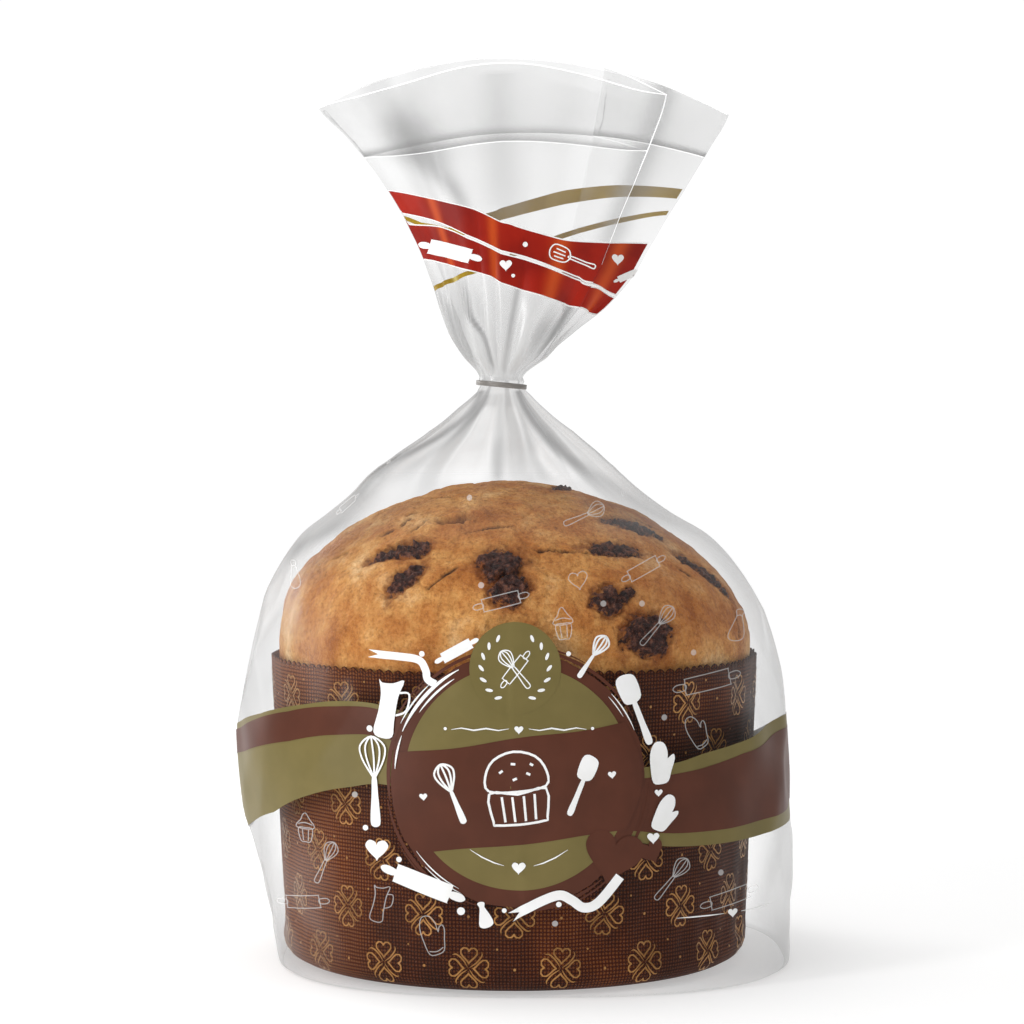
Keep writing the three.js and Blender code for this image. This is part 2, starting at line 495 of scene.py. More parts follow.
@dataclass(frozen=True)
class MouldPaperFinish:
    """Brown grease-proof baking paper, embossed with a fine square weave that catches light.

    The side toward -x is painted paler and warmer: painted light from that side. The weave follows the
    wall's own UV map, whose unit is the millimetre. Its real pitch is about 0.7 mm; it is drawn at
    0.95 mm so that it shows.
    """

    name: str = "embossed_baking_paper"
    weave_mm: float = 0.95
    patch_mm: float = 22.0
    browns: tuple[tuple[float, str], ...] = ((0.3, "42200a"), (0.55, "633213"), (0.75, "84481d"))
    # Painted light: the paler, warmer colour of the paper's left side.
    painted_side_light: str = "b06a34"
    threads: tuple[tuple[float, str], ...] = ((0.08, "8a6c52"), (0.6, "ffffff"))

    def build(self) -> Material:
        """Builds the material.

        Returns:
            The material.
        """
        material, tree, surface = new_material(self.name)
        cloth = add_node(tree, "UVMap", {"uv_map": "UVMap"}, out="UV")
        place = add_node(tree, "TexCoord", out="Object")
        waves = []
        for axis in ("X", "Y"):
            along = add_node(tree, "SeparateXYZ", inputs={0: cloth}, out=axis)
            turns = add_node(tree, "Math", {"operation": "MULTIPLY"}, {0: along, 1: FULL / self.weave_mm})
            swing = add_node(tree, "Math", {"operation": "SINE"}, {0: turns})
            waves.append(add_node(tree, "MapRange", inputs={"Value": swing, "From Min": -1.0}))
        dots = add_node(tree, "Math", {"operation": "MULTIPLY"}, {0: waves[0], 1: waves[1]})
        patches = add_node(tree, "TexNoise", inputs={
            "Vector": place, "Scale": 1 / (self.patch_mm * MM), "Detail": 4.0, "Roughness": 0.6,
        }, out="Fac")
        browns = add_node(tree, "ValToRGB", {"stops": self.browns}, {0: patches})
        # Painted light: the paper turns paler and warmer toward its left side.
        side = add_node(tree, "SeparateXYZ", inputs={0: place}, out="X")
        painted_side_light = add_node(tree, "MapRange", {"interpolation_type": "SMOOTHSTEP"}, {
            "Value": side, "From Min": -26 * MM, "From Max": -60 * MM, "To Max": 0.7,
        })
        colour = add_node(tree, "Mix", {"data_type": "RGBA"}, {0: painted_side_light, 6: browns, 7: self.painted_side_light}, out=2)
        threads = add_node(tree, "ValToRGB", {"stops": self.threads}, {0: dots})
        colour = add_node(tree, "Mix", {"data_type": "RGBA", "blend_type": "MULTIPLY"},
                          {0: 1.0, 6: colour, 7: threads}, out=2)
        bump = add_node(tree, "Bump", inputs={"Strength": 0.4, "Distance": 0.2 * MM, "Height": dots})
        paper = add_node(tree, "BsdfPrincipled", inputs={
            "Base Color": colour, "Roughness": 0.62, "IOR": 1.5, "Normal": bump,
            "Specular IOR Level": 0.12,
        })
        tree.links.new(paper, surface)
        return material


@dataclass(frozen=True)
class TieFinish:
    """Moulded grey polyethylene band: soft satin plastic with faint lines along it."""

    name: str = "grey_polyethylene"
    greys: tuple[tuple[float, str], ...] = ((0.35, "7a7570"), (0.65, "8f8a85"))
    line_mm: float = 3.0
    stretch: float = 12.0

    def build(self) -> Material:
        """Builds the material.

        Returns:
            The material.
        """
        material, tree, surface = new_material(self.name)
        place = add_node(tree, "TexCoord", out="Object")
        streak = add_node(tree, "Mapping", inputs={"Vector": place, "Scale": (1.0, 1.0, self.stretch)})
        lines = add_node(tree, "TexNoise", inputs={
            "Vector": streak, "Scale": 1 / (self.line_mm * MM), "Detail": 2.0,
        }, out="Fac")
        colour = add_node(tree, "ValToRGB", {"stops": self.greys}, {0: lines})
        bump = add_node(tree, "Bump", inputs={"Strength": 0.2, "Distance": 0.1 * MM, "Height": lines})
        band = add_node(tree, "BsdfPrincipled", inputs={
            "Base Color": colour, "Roughness": 0.42, "IOR": 1.5, "Normal": bump,
        })
        tree.links.new(band, surface)
        return material


# ---- loaf ----


@dataclass(frozen=True)
class Mark:
    """A mark on the crust, as an ellipse lying on the dome.

    Args:
        x, y, z: its middle, in millimetres.
        length, width: its size along and across, in millimetres.
        lean: the turn of its long side from level, in degrees.
        depth: how far the crust sinks there, or rises if negative, in millimetres.
    """

    x: float
    y: float
    z: float
    length: float
    width: float
    lean: float
    depth: float = 0.0

    def nearness(self, spot: Vector, ragged: float) -> float:
        """Is 1 at the middle, 0 at the edge and negative outside, with an edge made ragged by noise.

        Args:
            spot: a point in millimetres.
            ragged: how ragged the edge is, as a share of the size.

        Returns:
            The nearness.
        """
        away = spot - Vector((self.x, self.y, self.z))
        out = Vector((self.x, self.y, max(self.z - 60.0, 8.0))).normalized()
        level = Vector((0, 0, 1)).cross(out).normalized()
        rise = out.cross(level)
        turn = math.radians(self.lean)
        along = away.dot(level) * math.cos(turn) + away.dot(rise) * math.sin(turn)
        across = away.dot(rise) * math.cos(turn) - away.dot(level) * math.sin(turn)
        size = math.hypot(along / (self.length / 2), across / (self.width / 2))
        size = math.hypot(size, away.dot(out) / max(self.length, 8.0))
        rough = noise.noise(spot * 0.3 + Vector((self.x, 0, 0))) + 0.5 * noise.noise(spot * 0.9)
        return 1 - size + ragged * rough


@dataclass
class Loaf:
    """The loaf: a round foot that fills the mould and a domed crust with chocolate baked in."""

    material: Material
    rim_z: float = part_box("mould_wall")[1][2] / MM
    foot_z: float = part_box("loaf")[0][2] / MM
    top_z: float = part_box("loaf")[1][2] / MM
    foot_radius: float = 59.6
    foot_round: float = 5.0
    inside: tuple[Pair, ...] = ((62.3, 60.0), (60.9, 30.0))
    lean: float = -3.5
    dome: tuple[Pair, ...] = (
        (0.0, 126.3), (14.0, 124.9), (27.0, 121.4), (38.5, 116.2), (49.8, 108.0), (56.5, 102.0),
        (60.8, 94.5), (62.8, 87.5), (62.9, 79.0),
    )
    chocolate: tuple[Mark, ...] = tuple(Mark(*row) for row in (
        (-31, -38.5, 109.5, 13, 5.5, 35, 0.5), (-25.5, -40, 109, 9, 7, 25, -0.2),
        (-27.5, -48.5, 103, 12, 5.5, 62, 0.1), (-3.4, -50.5, 107, 11.5, 11, 0, -0.9),
        (-1.5, -56.5, 101, 10, 9, 40, -0.7), (31.5, -21.5, 115, 17, 6, -28, 0.2),
        (25, -38, 110, 16, 5.5, -6, 0.2), (23, -53.5, 97.5, 8.5, 8, 30, -0.5),
        (27.5, -51, 99, 7, 3, 35, -0.1), (49.5, -20, 103, 19, 7, -58, 0.3),
        (33.5, -52, 89.5, 13.5, 11, 20, -0.4), (12.7, -1.5, 124.5, 16, 3.5, -8, 0.2),
        (-16, 46, 108, 14, 9, 20, -0.4), (26, 42, 105, 11, 8, -40, -0.3),
        (-45, 24, 104, 12, 7, 15, 0.1), (-8, 22, 120.5, 13, 6, 50, 0.2), (52, 18, 99, 12, 8, 5, -0.4),
        (-36, 46, 94, 9, 8, 0, -0.5), (8, 57, 95, 13, 7, -20, -0.2),
    ))
    tears: tuple[Mark, ...] = tuple(Mark(*row) for row in (
        (-32.5, -36.8, 111, 12.5, 2.4, 35, 1.8), (-14.5, -33, 117.4, 13, 5.6, 30, 2.9),
        (-25, -33, 115, 8, 1.3, 75, 0.9), (-28, -26, 117, 7, 1.2, 100, 0.8),
        (-6, -38, 114.5, 18, 1.1, 20, 0.6), (-18, -52, 104, 12, 1, 50, 0.5),
        (34, -14, 115.5, 14, 1.3, -32, 0.8), (-44, -24, 107, 9, 1.4, 40, 0.8),
        (-26.5, -22.5, 119.4, 4.5, 3, 60, 0.9), (10.5, -44.5, 110, 20, 1.2, -7, 0.8),
        (-33.5, -29, 115, 5.5, 1.8, 60, 0.6), (-22, -30, 116.4, 3, 2.4, 0, 0.7),
        (57.5, -23, 90, 15, 1.2, 80, 0.8), (44, -30, 103.5, 10, 1.4, -50, 0.6),
        (-20, -14, 122.6, 17, 1.5, 10, 0.7), (-4, 40, 113, 22, 1.4, 12, 0.9),
        (36, 30, 109, 12, 1.5, -30, 0.8), (-40, 36, 102, 10, 3, 40, 1.2),
    ))

    def profile(self, share: float) -> Pair:
        """Reads the dome's outline from its top to its rim.

        Args:
            share: how far down the outline, from 0 to 1.

        Returns:
            The radius and the height there, in millimetres.
        """
        last = len(self.dome) - 1
        radius, height = (
            curve_at([(n / last, point[axis]) for n, point in enumerate(self.dome)], share)
            for axis in (0, 1)
        )
        return radius, height

    def dome_radius(self, height: float) -> float:
        """The plain dome's radius at a height."""
        rising = [(z, r) for r, z in reversed(self.dome)]
        return curve_at(rising, height) if height < self.top_z else 0.0

    def relief(self, spot: Vector) -> float:
        """How far the crust stands out from the plain dome.

        Args:
            spot: a point of the plain dome, in millimetres.

        Returns:
            The distance in millimetres: broad swells, small ripples and a few creases.
        """
        swell = 1.15 * noise.noise(spot / 27) + 0.55 * noise.noise(spot / 11 + Vector((7, 0, 0)))
        ripple = 0.4 * noise.noise(spot / 4.2) + 0.16 * noise.noise(spot / 1.8)
        fold = abs(noise.noise(spot / 13 + Vector((0, 31, 0))))
        crease = -0.4 * (1 - smoothstep(fold, 0.0, 0.05))
        return swell + ripple + crease * smoothstep(spot.z, 90, 104)

    def build(self) -> Piece:
        """Builds the loaf, which stands for the plain one.

        Returns:
            The new object.
        """
        bm = bmesh.new()
        bmesh.ops.create_icosphere(bm, subdivisions=8, radius=1.0)
        bmesh.ops.bisect_plane(bm, geom=[*bm.verts, *bm.edges, *bm.faces], plane_co=(0, 0, 0),
                               plane_no=(0, 0, 1), clear_inner=True)
        layers = {name: bm.verts.layers.float.new(name) for name in ("chocolate", "pit", "browning_and_shade")}
        for vert in bm.verts:
            self._shape_dome(vert, layers)
        self._add_foot(bm)
        bmesh.ops.recalc_face_normals(bm, faces=bm.faces)
        piece = piece_from(bm, "loaf_crust", self.material)
        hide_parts("loaf")
        return piece

    def _shape_dome(self, vert: bmesh.types.BMVert, layers: dict) -> None:
        """Moves a corner of the unit dome to its place on the crust and marks what shows there.

        Args:
            vert: the corner.
            layers: where the amounts of chocolate, torn crumb and browning are kept.
        """
        way = vert.co.normalized()
        share = math.acos(min(max(way.z, 0.0), 1.0)) / (math.pi / 2)
        radius, height = self.profile(share)
        level = math.hypot(way.x, way.y) or 1.0
        lean = self.lean * smoothstep(height, self.rim_z, self.top_z)
        spot = Vector((way.x / level * radius + lean, way.y / level * radius, height))
        out = Vector((spot.x - lean, spot.y, max(height - 62.0, 0.0) * 1.15)).normalized()
        calm = smoothstep(1.0 - share, 0.0, 0.1)
        lift = self.relief(spot) * (0.25 + 0.75 * calm)
        cocoa = halo = 0.0
        lumps = 1.5 * abs(noise.noise(spot * 0.4)) + 0.8 * noise.noise(spot)
        for mark in self.chocolate:
            near = mark.nearness(spot, 0.4)
            halo = max(halo, 0.5 * smoothstep(near, -0.6, 0.1))
            cocoa = max(cocoa, 0.5 + 0.5 * near)
            shown = smoothstep(near, 0.0, 0.16)
            rim_gap = smoothstep(near, -0.25, -0.02) * (1 - smoothstep(near, 0.0, 0.2))
            lift += (lumps - mark.depth) * shown - 0.75 * rim_gap
        pit = 0.0
        for mark in self.tears:
            near = mark.nearness(spot, 0.5)
            pit = max(pit, smoothstep(near, 0.1, 0.6))
            lip = smoothstep(near, -0.55, -0.1) * (1 - smoothstep(near, -0.1, 0.25))
            lift += mark.depth * (0.28 * lip - smoothstep(near, 0.0, 0.55))
        # Browning above the mould, paler at the very top; the 0.008 * spot.x term is painted shade that
        # darkens the crust toward the right side.
        browning_and_side_shade = 0.5 + 0.9 * noise.noise(spot / 24 + Vector((3, 5, 9))) + 0.008 * spot.x
        browning_and_side_shade *= smoothstep(spot.z, 74, 112) * (1 - 0.5 * smoothstep(spot.z, 112, 124))
        vert[layers["chocolate"]] = cocoa
        vert[layers["pit"]] = pit
        vert[layers["browning_and_shade"]] = min(max(browning_and_side_shade * 0.36, halo, 0.0), 0.8)
        vert.co = (spot + out * lift) * MM

    def _add_foot(self, bm: Mesh) -> None:
        """Runs the dome's lower edge down inside the mould and closes it.

        Args:
            bm: the mesh to add to.
        """
        rim = [e for e in bm.edges if e.is_boundary]
        steps = [*self.inside, (self.foot_radius, self.foot_z + self.foot_round)]
        for n in range(1, 4):
            turn = n * math.pi / 6
            steps.append((
                self.foot_radius - self.foot_round * (1 - math.cos(turn)),
                self.foot_z + self.foot_round * (1 - math.sin(turn)),
            ))
        for radius, height in steps:
            made = bmesh.ops.extrude_edge_only(bm, edges=rim)["geom"]
            rim = [g for g in made if isinstance(g, bmesh.types.BMEdge)]
            for vert in (g for g in made if isinstance(g, bmesh.types.BMVert)):
                level = math.hypot(vert.co.x, vert.co.y)
                vert.co = Vector((vert.co.x / level * radius, vert.co.y / level * radius, height)) * MM
            rim = [e for e in rim if e.is_boundary]
        bmesh.ops.edgeloop_fill(bm, edges=rim)


# ---- baking mould ----


@dataclass
class Mould:
    """The paper baking mould: a fluted, printed wall with a pinked rim and a turned-under foot."""

    paper: Material
    gold: Material
    top_radius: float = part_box("mould_wall")[1][0] / MM
    rim_z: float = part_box("mould_wall")[1][2] / MM
    foot_z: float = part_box("mould_wall")[0][2] / MM
    foot_radius: float = 62.0
    corner: float = 5.0
    lip_radius: float = 48.0
    paper_mm: float = 0.35
    teeth: int = 142
    tooth_mm: float = 1.1
    tooth_steps: int = 4
    rows: int = 44
    sprig_rows: tuple[float, ...] = (7.2, 20.2, 33.2, 46.2, 59.2, 72.0)
    sprig_columns: int = 17
    print_radius: float = 64.0
    print_lift_mm: float = 0.15

    def radius(self, height: float) -> float:
        """Outer radius of the wall at a height, round the foot's corner too.

        Args:
            height: height in millimetres.

        Returns:
            The radius, in millimetres.
        """
        if height < self.foot_z + self.corner:
            drop = 1 - max(height - self.foot_z, 0.0) / self.corner
            return self.foot_radius - self.corner * (1 - math.sqrt(max(1 - drop * drop, 0.0)))
        share = (height - self.foot_z) / (self.rim_z - self.foot_z)
        return lerp(self.foot_radius, self.top_radius, share)

    def flute(self, turn: float, height: float) -> float:
        """How far the paper bows in or out.

        Args:
            turn: place round it, in turns.
            height: in millimetres.

        Returns:
            The distance in millimetres, never far outward.
        """
        pleat = periodic_noise(turn, height, 52, 75, 2.0) * 1.05
        wave = periodic_noise(turn, height, 15, 45, 9.0) * 0.8
        near_foot = 1 - smoothstep(height, 4, 40)
        near_rim = smoothstep(height, 45, self.rim_z)
        return min(pleat * (0.4 + near_foot + near_rim) + wave * (0.3 + 0.7 * near_rim) - 0.45, 0.35)

    def at(self, turn: float, height: float, lift: float = 0.0) -> Vector:
        """A point of the wall's outside, in metres.

        Args:
            turn: place round it from the front, in turns.
            height: in millimetres.
            lift: how far off the paper, in millimetres.

        Returns:
            The point.
        """
        angle = FULL * turn
        calm = smoothstep(height, self.foot_z + self.corner, self.foot_z + self.corner + 4)
        radius = self.radius(height) + self.flute(turn, height) * calm + lift
        return Vector((radius * math.sin(angle), -radius * math.cos(angle), height)) * MM

    def build(self) -> list[Piece]:
        """Builds the wall and its printed ornaments, and dresses the base disc."""
        wall = self._wall()
        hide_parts("mould_wall")
        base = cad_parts["mould_base"]
        base.data.materials.clear()
        base.data.materials.append(self.paper)
        return [wall, self._ornaments()]

    def _wall(self) -> Piece:
        """The wall, as a bent band whose UV map is in millimetres along the paper.

        Returns:
            The new object.
        """
        bm = bmesh.new()
        around = self.teeth * self.tooth_steps
        bend = math.pi / 2 * self.corner
        under = self.foot_radius - self.corner - self.lip_radius
        height = self.rim_z - self.foot_z - self.corner
        girth = FULL * self.top_radius
        bmesh.ops.create_grid(bm, x_segments=around, y_segments=self.rows, size=1)
        uv = bm.loops.layers.uv.new("UVMap")
        for vert in bm.verts:
            turn, along = vert.co.x / 2, (vert.co.y + 1) / 2 * (under + bend + height)
            vert.co = self._paper_point(turn, along, under, bend)
            for loop in vert.link_loops:
                loop[uv].uv = (turn * girth, along)
        piece = piece_from(bm, "mould_paper", self.paper, 1e-6)
        solid = piece.modifiers.new("paper", "SOLIDIFY")
        solid.thickness = self.paper_mm * MM
        solid.offset = -1
        return piece

    def _paper_point(self, turn: float, along: float, under: float, bend: float) -> Vector:
        """A point of the paper, from the lip's inner edge, round the corner and up to the rim.

        Args:
            turn: place round it, in turns.
            along: distance along the paper from the lip's inner edge, in millimetres.
            under: the length that lies under the loaf.
            bend: the length round the corner.

        Returns:
            The point, in metres.
        """
        angle = FULL * turn
        if along < under:
            radius, height = self.lip_radius + along, self.foot_z
        elif along < under + bend:
            swing = (along - under) / self.corner
            radius = self.foot_radius - self.corner + self.corner * math.sin(swing)
            height = self.foot_z + self.corner * (1 - math.cos(swing))
        else:
            height = self.foot_z + self.corner + along - under - bend
            near_rim = smoothstep(height, self.rim_z - 2 * self.tooth_mm, self.rim_z)
            tooth = abs(math.sin(math.pi * self.teeth * turn))
            height += near_rim * self.tooth_mm * (tooth - 0.75)
            height += near_rim * 0.7 * periodic_noise(turn, 0, 18, 50, 5.0)
            return self.at(turn, height)
        return Vector((radius * math.sin(angle), -radius * math.cos(angle), height)) * MM

    def _ornaments(self) -> Piece:
        """Gold-ink sprigs of four hearts, printed all over the wall in staggered rows.

        Returns:
            The new object.
        """
        girth = FULL * self.print_radius
        pen = Pen(lambda x, z: self.at(x / girth, z, self.print_lift_mm))
        pitch = girth / self.sprig_columns
        for row, height in enumerate(self.sprig_rows):
            for column in range(self.sprig_columns):
                across = (column + (row % 2) / 2 - self.sprig_columns / 2) * pitch
                sway = noise.noise(Vector((column * 1.7, row * 2.3, 0)))
                pen.put(across, height, 1.0, 12 * sway)
                sprig(pen)
                pen.put(across + pitch / 2, height + 1.5 * sway, 1.0, 0)
                pen.dot(0, 0, 0.36)
                pen.dot(-4.5, 5.0, 0.28)
        return pen.finish("mould_gold_print", self.gold)


# ---- printed artwork ----


def radial(point: Vector) -> Vector:
    """The direction away from the object's upright axis."""
    return Vector((point.x, point.y, 0.0))


def turned(x: float, z: float, degrees: float) -> Pair:
    """Turns a drawn point to the left about the middle of its drawing."""
    cos, sin = math.cos(math.radians(degrees)), math.sin(math.radians(degrees))
    return x * cos - z * sin, x * sin + z * cos


@dataclass
class Pen:
    """Draws flat shapes and lays them on a curved surface, all in one mesh.

    Shapes are drawn in millimetres about the pen's own place, which put() moves, sizes and turns.
    """

    lay: Lay
    bm: Mesh = field(default_factory=bmesh.new)
    across: float = 0.0
    height: float = 0.0
    size: float = 1.0
    degrees: float = 0.0
    grain: float = 1.3

    def put(self, across: float, height: float, size: float = 1.0, degrees: float = 0.0) -> None:
        """Moves the pen's place, and sets the size and turn of what it draws next."""
        self.across, self.height, self.size, self.degrees = across, height, size, degrees

    def at(self, x: float, z: float) -> Vector:
        """Lays one drawn point on the surface."""
        x, z = turned(x * self.size, z * self.size, self.degrees)
        return self.lay(self.across + x, self.height + z)

    def stroke(self, line: Sequence[Pair], width: float, taper: bool = False) -> None:
        """Draws a line.

        Args:
            line: its points.
            width: how wide it is, in millimetres.
            taper: whether it ends in points.
        """
        last = len(line) - 1

        def place(along: float, side: float) -> Vector:
            """Lays a point of the stroke: a share along it, and a share across it."""
            spot = along * last
            i = min(int(spot), last - 1)
            (ax, az), (bx, bz) = line[i], line[i + 1]
            x, z = lerp(ax, bx, spot - i), lerp(az, bz, spot - i)
            before, after = line[max(i - 1, 0)], line[min(i + 2, last)]
            dx, dz = after[0] - before[0], after[1] - before[1]
            length = math.hypot(dx, dz) or 1.0
            half = (side - 0.5) * width / self.size
            half *= math.sin(math.pi * min(max(along, 0.03), 0.97)) ** 0.6 if taper else 1.0
            return self.at(x - dz / length * half, z + dx / length * half)

        bent_grid(self.bm, last, 1, place)

    def fill(self, outline: Sequence[Pair], rings: int = 0) -> None:
        """Fills a closed outline that can be seen whole from its middle.

        Args:
            outline: its points, the last the same as the first.
            rings: rows of faces from the edge to the middle, or 0 for as many as its width asks for.
        """
        last = len(outline) - 1
        if not rings:
            wide = max(x for x, _ in outline) - min(x for x, _ in outline)
            rings = max(2, round(wide * self.size / 2 / self.grain))
        mx = sum(x for x, _ in outline[:-1]) / last
        mz = sum(z for _, z in outline[:-1]) / last

        def place(along: float, inward: float) -> Vector:
            """Lays a point: a share round the outline, and a share of the way to its middle."""
            x, z = outline[round(along * last)]
            return self.at(lerp(x, mx, inward), lerp(z, mz, inward))

        bent_grid(self.bm, last, rings, place)

    def dot(self, x: float, z: float, radius: float, steps: int = 12) -> None:
        """Fills a small circle."""
        self.fill(circle(x, z, radius, steps), 1)

    def finish(self, name: str, material: Material) -> Piece:
        """Closes the drawing into one piece that faces outward.

        Args:
            name: the piece's name.
            material: its ink.

        Returns:
            The new object.
        """
        bmesh.ops.remove_doubles(self.bm, verts=self.bm.verts, dist=1e-6)
        bmesh.ops.dissolve_degenerate(self.bm, edges=self.bm.edges, dist=1e-7)
        face_outward(self.bm, radial)
        return piece_from(self.bm, name, material)


def resample(line: Sequence[Pair], spacing: float) -> list[Pair]:
    """Adds points to a line wherever two of its points are further apart than the spacing.

    Args:
        line: its points.
        spacing: the widest gap to leave, in millimetres.

    Returns:
        The finer line.
    """
    fine: list[Pair] = []
    for (ax, az), (bx, bz) in zip(line, line[1:]):
        count = max(1, round(math.hypot(bx - ax, bz - az) / spacing))
        fine += [(lerp(ax, bx, n / count), lerp(az, bz, n / count)) for n in range(count)]
    return [*fine, line[-1]]


def circle(x: float, z: float, radius: float, steps: int = 32, squash: float = 1.0) -> list[Pair]:
    """A closed circle, or an ellipse whose height is squash times its width."""
    turns = [FULL * n / steps for n in range(steps + 1)]
    return [(x + radius * math.cos(t), z + radius * squash * math.sin(t)) for t in turns]


def arc(radius: float, start: float, length: float, steps: int = 24) -> list[Pair]:
    """A line along a circle, from its start in degrees."""
    return [turned(radius, 0.0, start + length * n / steps) for n in range(steps + 1)]


def heart(x: float, z: float, size: float, degrees: float = 0.0, steps: int = 26) -> list[Pair]:
    """A closed heart, point down before it is turned.

    Args:
        x: place of its middle to the right.
        z: place of its middle upward.
        size: its height, roughly.
        degrees: how far it is turned.
        steps: how many stretches its outline has.

    Returns:
        Its points.
    """
    line = []
    scale = 0.0295 * size  # the plain curve is about 34 high
    for n in range(steps + 1):
        t = FULL * n / steps
        lobes = 13 * math.cos(t) - 5 * math.cos(2 * t) - 2 * math.cos(3 * t) - math.cos(4 * t)
        right, up = turned(16 * math.sin(t) ** 3, lobes, degrees)
        line.append((x + scale * right, z + scale * up))
    return line


def sprig(pen: Pen) -> None:
    """Draws four heart-shaped leaves round a middle, with fine curls between them.

    Args:
        pen: where and on what to draw.
    """
    for degrees in (0, 90, 180, 270):
        pen.stroke(heart(*turned(0.0, 3.5, degrees), 4.7, degrees, 18), 0.42)
    for degrees in (45, 135, 225, 315):
        curl = [turned(v, u, degrees) for u, v in ((0.4, 0.0), (2.4, 0.35), (4.6, 0.1), (5.3, -0.7))]
        pen.stroke(smooth_path(curl, 3), 0.4, taper=True)


class Motif(Enum):
    """The kitchen things printed on the film."""

    WHISK = "whisk"
    ROLLING_PIN = "rolling pin"
    HEART = "heart"
    SPATULA = "spatula"
    MITT = "mitt"
    JUG = "jug"
    SACK = "sack"
    CUPCAKE = "cupcake"
    CAKE = "domed cake"
    SKIMMER = "skimmer"


class Ink(Enum):
    """How a motif is drawn."""

    SOLID = "solid"
    LINE = "line"


@dataclass(frozen=True)
class Drawing:
    """A motif 20 mm tall: closed outlines, which are filled or lined, and open lines.

    Args:
        outlines: corner points of closed smooth shapes.
        lines: corner points of open smooth lines.
    """

    outlines: tuple[tuple[Pair, ...], ...] = ()
    lines: tuple[tuple[Pair, ...], ...] = ()


